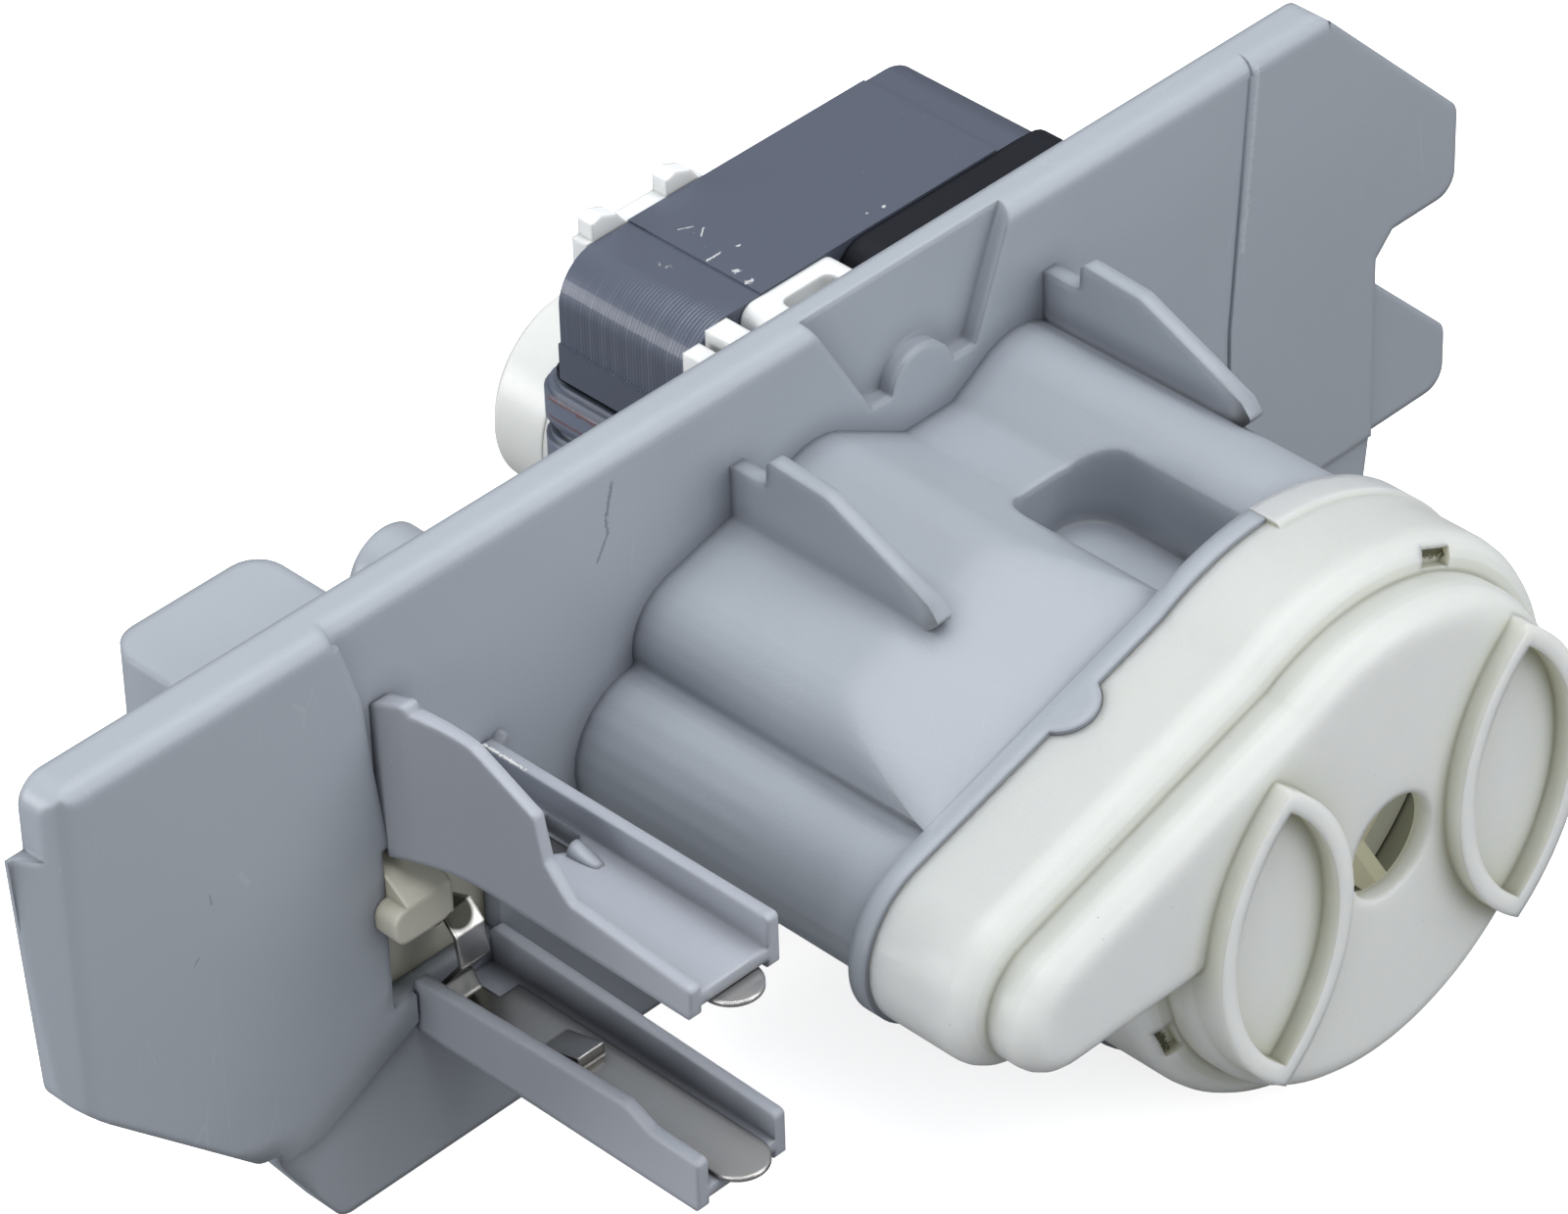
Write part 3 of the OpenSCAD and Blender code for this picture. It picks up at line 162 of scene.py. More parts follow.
def math_node(tree, what, a, b=None):
    """A math node whose two inputs are sockets or numbers."""
    node = tree.nodes.new("ShaderNodeMath")
    node.operation = what
    for i, value in enumerate((a, b)):
        if value is None:
            continue
        if isinstance(value, (int, float)):
            node.inputs[i].default_value = value
        else:
            tree.links.new(value, node.inputs[i])
    return node.outputs[0]


# Moulded skin: flow marks in the colour, a fine grain in the height, and fine scratches
mould, m_in, m_out = socket_group("moulded_skin", [
    ("Color", "Tone", (0.4, 0.4, 0.4, 1)), ("Float", "Flow", 0.05), ("Float", "Gloss", 0.4),
    ("Float", "Grain Size", 2500.0), ("Float", "Scratches", 0.3)],
    [("Color", "Color"), ("Float", "Roughness"), ("Float", "Height")])
where = add(mould, "TexCoord").outputs["Object"]
flow = add(mould, "TexNoise", {"Scale": 22.0, "Detail": 3.0, "Distortion": 1.2}, Vector=where)
flow_amount = math_node(mould, "MULTIPLY", math_node(mould, "SUBTRACT", flow.outputs[0], 0.5),
                        m_in.outputs["Flow"])
flow_tone = math_node(mould, "ADD", 1.0, flow_amount)
shade = add(mould, "CombineColor")
for i in range(3):
    mould.links.new(flow_tone, shade.inputs[i])
toned = blend_node(mould, "MULTIPLY", 1.0, m_in.outputs["Tone"], shade.outputs[0])
stretch = add(mould, "Mapping", {"Scale": (60.0, 60.0, 9.0), "Rotation": (0.2, 0.5, 0.1)},
              Vector=where)
cells = add(mould, "TexVoronoi", {"feature": "DISTANCE_TO_EDGE", "Scale": 2.2},
            Vector=stretch.outputs[0])
rare = add(mould, "TexNoise", {"Scale": 60.0, "Detail": 1.0}, Vector=where)
line = math_node(mould, "LESS_THAN", cells.outputs["Distance"], 0.006)
seldom = math_node(mould, "GREATER_THAN", rare.outputs[0], 0.62)
scratch = math_node(mould, "MULTIPLY", math_node(mould, "MULTIPLY", line, seldom),
                    m_in.outputs["Scratches"])
toned = blend_node(mould, "MIX", math_node(mould, "MULTIPLY", scratch, 0.25), toned,
                   (0.75, 0.77, 0.80, 1))
mould.links.new(toned, m_out.inputs["Color"])
grain = add(mould, "TexNoise", {"Detail": 2.0}, Vector=where, Scale=m_in.outputs["Grain Size"])
grain_off = math_node(mould, "MULTIPLY", math_node(mould, "SUBTRACT", grain.outputs[0], 0.5), 0.10)
rough = math_node(mould, "ADD", m_in.outputs["Gloss"], grain_off)
mould.links.new(math_node(mould, "ADD", rough, math_node(mould, "MULTIPLY", scratch, 0.2)),
                m_out.inputs["Roughness"])
mould.links.new(math_node(mould, "SUBTRACT", grain.outputs[0], scratch), m_out.inputs["Height"])


# One straight mark between two points, which can be broken up along its length
mark, k_in, k_out = socket_group("thin_mark", [
    ("Vector", "From", (0, 0, 0)), ("Vector", "To", (0, 0, 0.01)), ("Float", "Width", 0.0002),
    ("Float", "Ragged", 1.0)],
    [("Float", "Mask")])
where = add(mark, "TexCoord").outputs["Object"]


def vector_node(tree, what, a, b=None):
    """A vector math node whose inputs are sockets."""
    node = tree.nodes.new("ShaderNodeVectorMath")
    node.operation = what
    for i, value in enumerate((a, b)):
        if value is not None:
            tree.links.new(value, node.inputs[i])
    return node


to_point = vector_node(mark, "SUBTRACT", where, k_in.outputs["From"]).outputs[0]
run = vector_node(mark, "SUBTRACT", k_in.outputs["To"], k_in.outputs["From"]).outputs[0]
share = math_node(mark, "DIVIDE", vector_node(mark, "DOT_PRODUCT", to_point, run).outputs["Value"],
                  vector_node(mark, "DOT_PRODUCT", run, run).outputs["Value"])
held = add(mark, "Clamp", Value=share)
foot = add(mark, "VectorMath", {"operation": "SCALE"})
mark.links.new(run, foot.inputs[0])
mark.links.new(held.outputs[0], foot.inputs["Scale"])
from_line = vector_node(mark, "SUBTRACT", to_point, foot.outputs[0]).outputs[0]
off_line = vector_node(mark, "LENGTH", from_line)
ragged = add(mark, "TexNoise", {"Scale": 2600.0, "Detail": 2.0}, Vector=where)
uneven = math_node(mark, "MULTIPLY", k_in.outputs["Ragged"], math_node(
    mark, "SUBTRACT", math_node(mark, "MULTIPLY", ragged.outputs[0], 2.8), 1.6))
reach = math_node(mark, "MULTIPLY", k_in.outputs["Width"], math_node(mark, "ADD", 1.0, uneven))
near = math_node(mark, "SUBTRACT", 1.0,
                 math_node(mark, "DIVIDE", off_line.outputs["Value"], reach))
mark.links.new(add(mark, "Clamp", Value=math_node(mark, "MULTIPLY", near, 2.0)).outputs[0],
               k_out.inputs["Mask"])


def marks(tree, spots, uneven=1.0):
    """The joint mask of several marks, each two points and the reach round them, in mm."""
    mask = None
    for start, end, width in spots:
        one = add(tree, "Group", {"node_tree": mark})
        one.inputs["From"].default_value = [v / 1000 for v in start]
        one.inputs["To"].default_value = [v / 1000 for v in end]
        one.inputs["Width"].default_value = width / 1000
        one.inputs["Ragged"].default_value = uneven
        mask = one.outputs[0] if mask is None else math_node(tree, "MAXIMUM", mask, one.outputs[0])
    return mask


def moulded(name, tone, painted_shade_tone, flow=0.05, gloss=0.42, grain_size=2500.0, scratches=0.3,
            edge=0.0008, depth=0.004, lift=0.25, glow=0.0, sink=0.0004, spots=(), painted_inner_glow=None,
            painted_top_shade=0.0):
    """A moulded plastic: its tone, the tone of the painted shade in its hollows, its sheen and the
    radius of its edges.
    """
    made = bpy.data.materials.new(name)
    made.use_nodes = True
    tree = made.node_tree
    skin = tree.nodes["Principled BSDF"]
    body = add(tree, "Group", {"node_tree": mould})
    for key, value in (("Tone", tone + (1,)), ("Flow", flow), ("Gloss", gloss),
                       ("Grain Size", grain_size), ("Scratches", scratches)):
        body.inputs[key].default_value = value
    # Painted shade makes corners inside darker and warmer, and a painted highlight makes broken
    # edges paler
    corner = add(tree, "AmbientOcclusion", {"samples": 8, "Distance": depth})
    shaded_hollows = blend_node(tree, "MIX", math_node(tree, "POWER", corner.outputs["AO"], 1.3),
                         painted_shade_tone + (1,), body.outputs["Color"])
    round_off = add(tree, "Bevel", {"samples": 8, "Radius": edge})
    flat = add(tree, "NewGeometry")
    turn = add(tree, "VectorMath", {"operation": "DOT_PRODUCT"})
    tree.links.new(round_off.outputs[0], turn.inputs[0])
    tree.links.new(flat.outputs["Normal"], turn.inputs[1])
    bent = math_node(tree, "MULTIPLY", math_node(tree, "SUBTRACT", 1.0, turn.outputs["Value"]), 3.0)
    convex = math_node(tree, "MULTIPLY", bent,
                       math_node(tree, "GREATER_THAN", corner.outputs["AO"], 0.9))
    edge_highlight = math_node(tree, "MULTIPLY", math_node(tree, "MINIMUM", convex, 1.0), lift)
    pale = tuple(min(1.0, c * 1.25 + 0.04) for c in tone) + (1,)
    face = blend_node(tree, "MIX", edge_highlight, shaded_hollows, pale)
    if painted_top_shade:
        # Painted shade: faces that look up are painted darker, for the light from above that goes
        # through into the hollow behind
        facing = add(tree, "SeparateXYZ", Vector=round_off.outputs[0])
        upward = math_node(tree, "MULTIPLY",
                           math_node(tree, "MAXIMUM", facing.outputs["Z"], 0.0), painted_top_shade)
        face = blend_node(tree, "MIX", upward, face, (0.0, 0.0, 0.0, 1))
    for spot_tone, lines in spots:
        face = blend_node(tree, "MIX", marks(tree, lines), face, spot_tone + (1,))
    tree.links.new(face, skin.inputs["Base Color"])
    # Painted light: the surfaces inside the chamber glow
    if painted_inner_glow:
        inside = add(tree, "Group", {"node_tree": chamber})
        inside.inputs["Tone"].default_value = painted_inner_glow + (1,)
        tree.links.new(inside.outputs["Color"], skin.inputs["Emission Color"])
        skin.inputs["Emission Strength"].default_value = 1.0
    tree.links.new(body.outputs["Roughness"], skin.inputs["Roughness"])
    bump = add(tree, "Bump", {"Strength": 0.12, "Distance": 0.0002}, Height=body.outputs["Height"],
               Normal=round_off.outputs[0])
    tree.links.new(bump.outputs[0], skin.inputs["Normal"])
    skin.inputs["Specular IOR Level"].default_value = 0.4
    if glow:
        skin.inputs["Subsurface Weight"].default_value = glow
        skin.inputs["Subsurface Radius"].default_value = (1.0, 0.95, 0.75)
        skin.inputs["Subsurface Scale"].default_value = sink
    return made


def finish(names, material):
    """Gives CAD nodes their material."""
    for name in names:
        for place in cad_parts[name].material_slots:
            place.material = material


grey = (0.345, 0.378, 0.425)
grey_painted_shade = (0.17, 0.185, 0.22)
# One long curved scratch, three nicks, and a painted highlight along the crease at the right
nicks = [((-29.1, 2.5, 82.8), (-30.3, 2.5, 78.4), 0.35),
         ((-30.3, 2.5, 78.4), (-30.1, 2.5, 76.3), 0.35),
         ((-30.1, 2.5, 76.3), (-31.9, 2.5, 73.1), 0.3),
         ((-91.7, 1.5, 62.2), (-91.6, 1.5, 60.9), 0.16),
         ((-94.0, 1.5, 54.9), (-94.7, 1.5, 54.1), 0.12),
         ((38.9, 8.6, 86.5), (39.2, 8.6, 86.5), 0.5)]
crease_painted_highlight = [((77.3, 2.1, 85.0), (74.9, 2.1, 60.0), 0.55)]
plate_edge, plate_depth = 0.0014, 0.004
plate_moulding = moulded("carrier_polypropylene", grey, grey_painted_shade, flow=0.10, gloss=0.38,
                         edge=plate_edge, depth=plate_depth,
                         spots=[((0.42, 0.45, 0.50), crease_painted_highlight), ((0.20, 0.22, 0.26), nicks)])
# The left field runs out smoothly at its lower corner, so its rounding is wider there. The
# right field ends in a fine step, which is hardly rounded.
tree = plate_moulding.node_tree
corner_run = marks(tree, [((-87.0, 1.5, 17.0), (-60.0, 1.5, 27.0), 9.0)], uneven=0.0)
step_line = marks(tree, [((76.3, 2.3, 84.0), (72.6, 2.3, 44.0), 3.5)], uneven=0.0)
wider = math_node(tree, "SUBTRACT", math_node(tree, "MULTIPLY", corner_run, 0.005),
                  math_node(tree, "MULTIPLY", step_line, 0.0010))
tree.links.new(math_node(tree, "ADD", plate_edge, wider), tree.nodes["Bevel"].inputs["Radius"])
# Along both, the painted shade in hollows reaches less far
less_shade = math_node(tree, "MULTIPLY", math_node(tree, "MAXIMUM", corner_run, step_line), 0.0037)
tree.links.new(math_node(tree, "SUBTRACT", plate_depth, less_shade),
               tree.nodes["Ambient Occlusion"].inputs["Distance"])
finish(["carrier_plate"], plate_moulding)

# Hood and nozzle
# The hood over the sensor's plug and the outlet nozzle stand behind the carrier. They are
# moulded in the carrier's plastic, with rounder edges.
finish(["plug_hood", "outlet_nozzle"],
       moulded("grey_polypropylene", grey, grey_painted_shade, flow=0.10, gloss=0.38, edge=0.0018))

# Pump housing
# The drum, the outlet duct's lobe, the pocket and the flange are one moulding with the same skin.
# Its slopes are smooth and its webs are thin, and its tone is painted a little darker, as painted
# shade.
housing_shaded_grey = tuple(c * 0.94 for c in grey)
housing_edge = 0.002
housing_moulding = moulded("housing_polypropylene", housing_shaded_grey, grey_painted_shade,
                           flow=0.10, gloss=0.38, edge=housing_edge, scratches=0.1)
# The falling left top blends into the shoulder without an edge, so its rounding is wider there
tree = housing_moulding.node_tree
place = add(tree, "SeparateXYZ", Vector=add(tree, "TexCoord").outputs["Object"])
wide = 1.0
for side, none_at, full_at in (("Y", -0.023, -0.029), ("Y", -0.0435, -0.041), ("Z", 0.046, 0.050)):
    region = add(tree, "MapRange", {"From Min": none_at, "From Max": full_at},
                 Value=place.outputs[side])
    wide = math_node(tree, "MULTIPLY", wide, region.outputs[0])
tree.links.new(math_node(tree, "ADD", housing_edge, math_node(tree, "MULTIPLY", wide, 0.004)),
               tree.nodes["Bevel"].inputs["Radius"])
finish(["sump_housing"], housing_moulding)

# Sensor arms
# Two channels moulded to the carrier beside the pump carry the level sensor's strips. The
# upper one has a tongue at its slot, and a gusset at the root of its far wall.
# A painted highlight runs along a wall top of the upper arm, near the carrier
rim_painted_highlight = [((-50.8, 2.4, 58.7), (-50.8, -4.6, 58.9), 0.32)]
arm_moulding = moulded("sensor_arm_polypropylene", (0.355, 0.38, 0.43), (0.18, 0.19, 0.22),
                       flow=0.08, gloss=0.34, edge=0.0011, lift=0.5, glow=0.12, sink=0.0008,
                       spots=[((0.80, 0.81, 0.80), rim_painted_highlight)])
finish(["upper_sensor_arm", "lower_sensor_arm"], arm_moulding)


def piece(name, rings, material, smooth=True):
    """A closed mesh through rings of points in millimetres, which rides on the base."""
    mesh = bmesh.new()
    loops = [[mesh.verts.new([v / 1000 for v in point]) for point in ring] for ring in rings]
    for first, second in zip(loops, loops[1:]):
        for i in range(len(first)):
            j = (i + 1) % len(first)
            mesh.faces.new((first[i], first[j], second[j], second[i]))
    mesh.faces.new(loops[0][::-1])
    mesh.faces.new(loops[-1])
    bmesh.ops.recalc_face_normals(mesh, faces=mesh.faces)
    for face in mesh.faces:
        face.smooth = smooth
    data = bpy.data.meshes.new(name)
    mesh.to_mesh(data)
    mesh.free()
    data.materials.append(material)
    made = bpy.data.objects.new(name, data)
    bpy.context.scene.collection.objects.link(made)
    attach(made, "base")
    return made


# A spoon-shaped tongue is pressed up out of the upper arm's floor, at the slot's pointed end
floor_top = 55.0
tongue_x, tongue_y, tongue_run, tongue_sink = -53.8, -15.3, 4.2, 0.3
steps, arch_steps = 8, 10
rings = []
for i in range(steps + 1):
    share = i / steps
    y = tongue_y - tongue_run * share
    half = 1.25 * math.sqrt(1 - 0.8 * share ** 2)
    rise = 1.3 * (1 - share) ** 1.3 + 0.15
    turns = [math.pi * k / arch_steps for k in range(arch_steps + 1)]
    rings.append([(tongue_x + half * math.cos(a), y, floor_top + rise * math.sin(a)) for a in turns]
                 + [(tongue_x - half, y, floor_top - tongue_sink),
                    (tongue_x + half, y, floor_top - tongue_sink)])
piece("sensor_tongue", rings, arm_moulding)
# A small gusset stiffens the root of that arm's far wall
gusset = [(-50.4, 55.9), (-50.4, 57.4), (-48.3, 59.0), (-47.7, 58.9), (-47.7, 55.9)]
gusset_back, gusset_front = 2.7, 1.3
piece("sensor_gusset", [[(x, y, z) for x, z in gusset] for y in (gusset_back, gusset_front)],
      arm_moulding, smooth=False)

# Electrodes and contacts
# Two strips of rolled stainless sheet feel the water. They end in round tongues, and the
# lower one starts in a bent spring. An ivory block in the carrier holds two brass pins.

# Rolled metal: fine lines along one direction and soft blotches of oxide
rolled, r_in, r_out = socket_group("rolled_metal", [
    ("Color", "Tone", (0.6, 0.6, 0.6, 1)), ("Color", "Stain", (0.4, 0.38, 0.33, 1)),
    ("Float", "Blotches", 0.3), ("Float", "Gloss", 0.3), ("Vector", "Run", (900.0, 40.0, 900.0))],
    [("Color", "Color"), ("Float", "Roughness"), ("Float", "Height")])
where = add(rolled, "TexCoord").outputs["Object"]
along = add(rolled, "VectorMath", {"operation": "MULTIPLY"})
rolled.links.new(where, along.inputs[0])
rolled.links.new(r_in.outputs["Run"], along.inputs[1])
lines = add(rolled, "TexNoise", {"Scale": 1.0, "Detail": 2.0}, Vector=along.outputs[0])
spots = add(rolled, "TexNoise", {"Scale": 150.0, "Detail": 4.0, "Roughness": 0.6}, Vector=where)
spot = add(rolled, "MapRange", {"From Min": 0.48, "From Max": 0.75}, Value=spots.outputs[0])
spot_mask = math_node(rolled, "MULTIPLY", spot.outputs[0], r_in.outputs["Blotches"])
rolled.links.new(blend_node(rolled, "MIX", spot_mask, r_in.outputs["Tone"], r_in.outputs["Stain"]),
                 r_out.inputs["Color"])
duller = math_node(rolled, "ADD", math_node(rolled, "MULTIPLY", lines.outputs[0], 0.12),
                   math_node(rolled, "MULTIPLY", spot_mask, 0.25))
rolled.links.new(math_node(rolled, "ADD", r_in.outputs["Gloss"], duller),
                 r_out.inputs["Roughness"])
waves = add(rolled, "TexNoise", {"Scale": 140.0, "Detail": 0.0}, Vector=where)
rolled.links.new(math_node(rolled, "ADD", lines.outputs[0], math_node(
    rolled, "MULTIPLY", waves.outputs[0], 3.0)), r_out.inputs["Height"])


def metal(name, tone, stain, blotches=0.3, gloss=0.25, run=(900.0, 40.0, 900.0), edge=0.0002,
          depth=0.004, shade=()):
    """A bare metal with its lines of rolling, grinding or drawing, with painted shade in its
    hollows and at the given shade marks.
    """
    made = bpy.data.materials.new(name)
    made.use_nodes = True
    tree = made.node_tree
    skin = tree.nodes["Principled BSDF"]
    body = add(tree, "Group", {"node_tree": rolled})
    for key, value in (("Tone", tone + (1,)), ("Stain", stain + (1,)), ("Blotches", blotches),
                       ("Gloss", gloss), ("Run", run)):
        body.inputs[key].default_value = value
    corner = add(tree, "AmbientOcclusion", {"samples": 8, "Distance": depth})
    hollow_shade = tuple(c * 0.25 for c in stain) + (1,)
    face = blend_node(tree, "MIX", math_node(tree, "POWER", corner.outputs["AO"], 1.6),
                      hollow_shade, body.outputs["Color"])
    if shade:
        shaded = math_node(tree, "MULTIPLY", marks(tree, shade, uneven=0.0), 2.0)
        face = blend_node(tree, "MIX", math_node(tree, "MINIMUM", shaded, 0.97),
                          face, (0.02, 0.02, 0.015, 1))
    tree.links.new(face, skin.inputs["Base Color"])
    tree.links.new(body.outputs["Roughness"], skin.inputs["Roughness"])
    skin.inputs["Metallic"].default_value = 1.0
    round_off = add(tree, "Bevel", {"samples": 4, "Radius": edge})
    bump = add(tree, "Bump", {"Strength": 0.08, "Distance": 0.0001}, Height=body.outputs["Height"],
               Normal=round_off.outputs[0])
    tree.links.new(bump.outputs[0], skin.inputs["Normal"])
    return made


# Painted shade darkens the spring's crest, as in the shade of the block's nose, and leaves a bright
# strip at its right edge
crest_shade_marks = [((-58.25, 0.2, 40.1), (-58.25, 3.1, 39.5), 2.6)]
finish(["upper_electrode", "lower_electrode"],
       metal("rolled_stainless", (0.80, 0.79, 0.775), (0.45, 0.44, 0.40), blotches=0.12, gloss=0.18,
             edge=0.0005, depth=0.012, shade=crest_shade_marks))
finish(["contact_block"],
       moulded("ivory_polyamide", (0.62, 0.61, 0.53), (0.30, 0.29, 0.22), flow=0.1, gloss=0.38,
               lift=0.3, glow=0.2, sink=0.001))
finish(["contact_pins", "terminal_tabs"],
       metal("drawn_brass", (0.72, 0.57, 0.28), (0.42, 0.30, 0.14), blotches=0.4, gloss=0.28))

# Pump cover
# The cover is moulded in uncoloured polypropylene, which lets some light through; the olive in its
# grooves is painted shade. It snaps onto the flange, with a rubber cord between them.

# Painted light: a glow that the surfaces in the chamber round the shaft emit, for the light that
# comes through the thin walls
chamber, h_in, h_out = socket_group("painted_chamber_glow", [
    ("Color", "Tone", (0.2, 0.19, 0.14, 1)), ("Float", "Back", 1.0), ("Float", "Reach", 0.0295)],
    [("Color", "Color")])
where = add(chamber, "SeparateXYZ", Vector=add(chamber, "TexCoord").outputs["Object"])
shaft_x, shaft_z, chamber_front = 0.025, 0.036, -0.0632
side = math_node(chamber, "SUBTRACT", where.outputs["X"], shaft_x)
height = math_node(chamber, "SUBTRACT", where.outputs["Z"], shaft_z)
from_shaft = math_node(chamber, "SQRT", math_node(
    chamber, "ADD", math_node(chamber, "MULTIPLY", side, side),
    math_node(chamber, "MULTIPLY", height, height)))
within = math_node(chamber, "MULTIPLY",
                   math_node(chamber, "LESS_THAN", from_shaft, h_in.outputs["Reach"]),
                   math_node(chamber, "GREATER_THAN", where.outputs["Y"], chamber_front))
within = math_node(chamber, "MULTIPLY", within,
                   math_node(chamber, "LESS_THAN", where.outputs["Y"], h_in.outputs["Back"]))
chamber.links.new(blend_node(chamber, "MIX", within, (0, 0, 0, 1), h_in.outputs["Tone"]),
                  h_out.inputs["Color"])

# The housing's surfaces in the chamber glow with the same painted light too
tree = housing_moulding.node_tree
skin = tree.nodes["Principled BSDF"]
inside = add(tree, "Group", {"node_tree": chamber})
for key, value in (("Tone", (0.13, 0.13, 0.10, 1)), ("Back", -0.0445), ("Reach", 0.0345)):
    inside.inputs[key].default_value = value
tree.links.new(inside.outputs["Color"], skin.inputs["Emission Color"])
skin.inputs["Emission Strength"].default_value = 1.0

white = (0.77, 0.80, 0.79)
olive_shade = (0.40, 0.40, 0.29)
# Two snap windows are painted as dark marks, painted shade where the hooks pass through
window_shadows = [((40.8, -58.0, 65.2), (36.8, -58.0, 67.2), 1.0),
           ((-4.6, -58.0, 20.6), (-6.4, -58.0, 24.6), 1.0)]
finish(["pump_cover"],
       moulded("cover_polypropylene", white, olive_shade, flow=0.04, gloss=0.32, scratches=0.1,
               spots=[((0.10, 0.10, 0.055), window_shadows)],
               edge=0.0013, depth=0.008, lift=0.1, glow=0.7, sink=0.006, painted_top_shade=0.32,
               painted_inner_glow=(0.12, 0.122, 0.095)))
finish(["cover_seal"], moulded("moulded_rubber", (0.03, 0.03, 0.032), (0.01, 0.01, 0.01),
                               flow=0.2, gloss=0.6, scratches=0.0, edge=0.0002))

# Impeller
# The blades and their hub are one moulding, and a cap closes the hub in front. Through the inlet
# they show in the chamber's olive light, which is painted into them as a beige tone and a painted
# glow.
finish(["impeller", "impeller_cap"],
       moulded("impeller_polypropylene", (0.55, 0.53, 0.43), (0.28, 0.27, 0.19), flow=0.08,
               gloss=0.4, scratches=0.1, edge=0.0006, glow=0.2, sink=0.002,
               painted_inner_glow=(0.15, 0.147, 0.115)))

# Motor core
# A stack of punched steel sheets, varnished dark blue-grey. Its sheets show as fine lines
# round the left end. A smooth wrap covers the middle of its top.
laminated, l_in, l_out = socket_group("laminated_stack", [
    ("Color", "Tone", (0.12, 0.13, 0.18, 1)), ("Float", "Sheet", 0.0005), ("Float", "Depth", 1.0)],
    [("Color", "Color"), ("Float", "Roughness"), ("Float", "Height")])
where = add(laminated, "TexCoord").outputs["Object"]
split = add(laminated, "SeparateXYZ", Vector=where)
wobble = add(laminated, "TexNoise", {"Scale": 120.0, "Detail": 1.0}, Vector=where)
level = math_node(laminated, "ADD", split.outputs["Y"],
                  math_node(laminated, "MULTIPLY", wobble.outputs[0], 0.0002))
phase = math_node(laminated, "DIVIDE", level, l_in.outputs["Sheet"])
wave = math_node(laminated, "SINE", math_node(laminated, "MULTIPLY", phase, 2 * math.pi))
sheet_no = math_node(laminated, "FLOOR", phase)
each = add(laminated, "TexWhiteNoise", {"noise_dimensions": "1D"})
laminated.links.new(sheet_no, each.inputs["W"])
lines = math_node(laminated, "MULTIPLY", math_node(laminated, "ADD", wave, 1.0),
                  l_in.outputs["Depth"])
pale = math_node(laminated, "MULTIPLY", lines, math_node(
    laminated, "ADD", 0.03, math_node(laminated, "MULTIPLY", each.outputs["Value"], 0.10)))
laminated.links.new(
    blend_node(laminated, "ADD", pale, l_in.outputs["Tone"], (0.25, 0.27, 0.30, 1)),
    l_out.inputs["Color"])
laminated.links.new(
    math_node(laminated, "SUBTRACT", 0.48, math_node(laminated, "MULTIPLY", lines, 0.06)),
    l_out.inputs["Roughness"])
laminated.links.new(lines, l_out.inputs["Height"])
core_steel = bpy.data.materials.new("varnished_laminations")
core_steel.use_nodes = True
tree = core_steel.node_tree
skin = tree.nodes["Principled BSDF"]
stack = add(tree, "Group", {"node_tree": laminated})
stack.inputs["Tone"].default_value = (0.085, 0.100, 0.140, 1)
core_split = add(tree, "SeparateXYZ", Vector=add(tree, "TexCoord").outputs["Object"])
# The lines start at the round corner, farther in at the front, and end above the ledge
slanted = math_node(tree, "ADD", core_split.outputs["X"],
                    math_node(tree, "MULTIPLY", core_split.outputs["Y"], 0.35))
bare_end = add(tree, "MapRange", {"From Min": 0.0045, "From Max": 0.0095, "To Min": 1.0,
                                  "To Max": 0.0}, Value=slanted)
above = add(tree, "MapRange", {"From Min": 0.0722, "From Max": 0.0724},
            Value=core_split.outputs["Z"])
tree.links.new(math_node(tree, "MULTIPLY", bare_end.outputs[0], above.outputs[0]),
               stack.inputs["Depth"])
# Chipped varnish, as small pale marks on the top and along the band's edge
core_top = 83.8
chips = [((2.9, 27.5), (3.0, 27.5), 0.45), ((3.2, 26.5), (3.4, 26.3), 0.4),
         ((5.0, 25.7), (5.1, 25.7), 0.25), ((6.9, 23.6), (9.0, 23.6), 0.22),
         ((11.3, 23.1), (11.6, 23.1), 0.25), ((7.6, 19.8), (7.8, 19.6), 0.5),
         ((6.9, 17.2), (7.6, 17.1), 0.45), ((28.2, 16.2), (28.5, 16.2), 0.3),
         ((26.0, 16.7), (26.2, 16.7), 0.2), ((53.2, 18.4), (53.5, 18.4), 0.3),
         ((9.0, 30.4), (10.6, 29.6), 0.12), ((9.8, 27.5), (11.2, 28.5), 0.16),
         ((6.3, 34.0), (6.3, 31.8), 0.14)]
chipped = marks(tree, [(start + (core_top,), end + (core_top,), width)
                       for start, end, width in chips])
top_side = math_node(tree, "MULTIPLY", chipped, 0.85)
tree.links.new(blend_node(tree, "MIX", top_side, stack.outputs["Color"], (0.62, 0.64, 0.66, 1)),
               skin.inputs["Base Color"])
tree.links.new(stack.outputs["Roughness"], skin.inputs["Roughness"])
bump = add(tree, "Bump", {"Strength": 0.5, "Distance": 0.00008}, Height=stack.outputs["Height"])
tree.links.new(bump.outputs[0], skin.inputs["Normal"])
skin.inputs["Metallic"].default_value = 0.2
skin.inputs["Coat Weight"].default_value = 0.15
finish(["laminated_core"], core_steel)

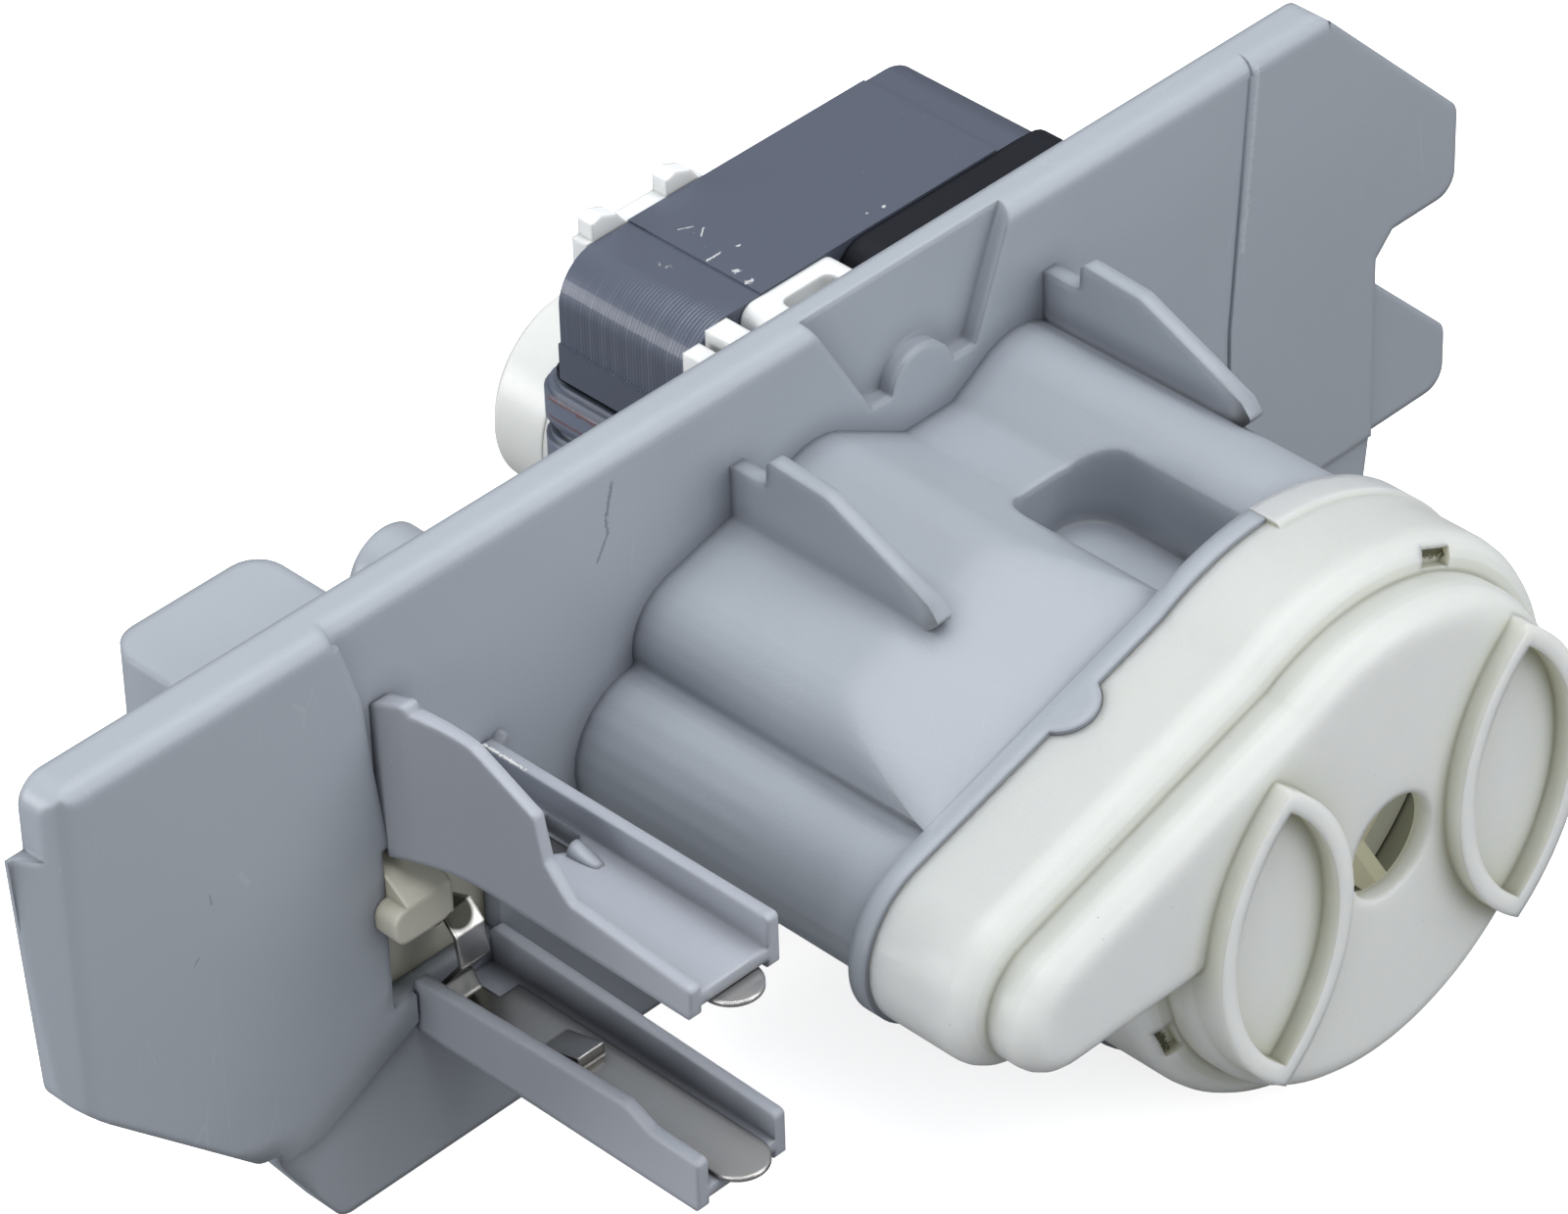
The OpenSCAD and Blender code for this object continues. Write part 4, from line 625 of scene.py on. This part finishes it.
# Windings
# Enamelled wire on two bobbins, wrapped in blue-grey tape whose turns overlap. A black
# plate closes the front of the yoke.
tape_edges = [((-6.3, 39.0, 64.7), (-6.3, 12.0, 64.4), 0.5),
              ((-6.3, 39.0, 62.1), (-6.3, 12.0, 61.8), 0.3)]
finish(["left_winding", "right_winding"],
       moulded("insulating_tape", (0.15, 0.175, 0.235), (0.05, 0.06, 0.08), flow=0.5, gloss=0.32,
               grain_size=1200.0, scratches=0.2, edge=0.0008,
               spots=[((0.15, 0.095, 0.11), tape_edges)]))
black_moulding = moulded("black_polyamide", (0.013, 0.015, 0.021), (0.006, 0.006, 0.007), flow=0.3,
                         gloss=0.5, scratches=0.2, lift=0.1)
black_moulding.node_tree.nodes["Principled BSDF"].inputs["Specular IOR Level"].default_value = 0.16
finish(["left_bobbin", "right_bobbin", "front_end_plate", "rotor_core", "drive_dog"],
       black_moulding)

# Motor bracket
# The bracket is moulded in uncoloured plastic and holds the core on the carrier with four
# zinc-plated screws. The terminal base behind the core is moulded in the same plastic.
finish(["motor_bracket", "terminal_base"],
       moulded("bracket_polypropylene", (0.80, 0.82, 0.835), (0.42, 0.43, 0.42), flow=0.05,
               gloss=0.36, edge=0.0007, glow=0.25, sink=0.002))
finish(["bracket_screws"], metal("zinc_plate", (0.62, 0.62, 0.60), (0.45, 0.43, 0.38), gloss=0.3,
                                 run=(300.0, 300.0, 300.0)))

# Rotor can and rotor
# A round can of the cover's plastic, closed by a cap, reaches from the housing through the
# core. In it a ferrite magnet on a ground shaft runs in two sintered bearings.
finish(["rotor_can", "rear_cap"],
       moulded("uncoloured_polypropylene", (0.66, 0.68, 0.67), olive_shade, flow=0.04, gloss=0.34,
               scratches=0.1, edge=0.0008, depth=0.005, lift=0.1, glow=0.4, sink=0.003))
finish(["front_bearing", "rear_bearing", "rotor_shaft"],
       metal("ground_steel", (0.56, 0.56, 0.55), (0.40, 0.38, 0.34), gloss=0.22,
             run=(80.0, 1500.0, 80.0)))
finish(["rotor_magnet"], moulded("sintered_ferrite", (0.06, 0.06, 0.063), (0.02, 0.02, 0.02),
                                 flow=0.4, gloss=0.6, grain_size=1800.0, scratches=0.5))
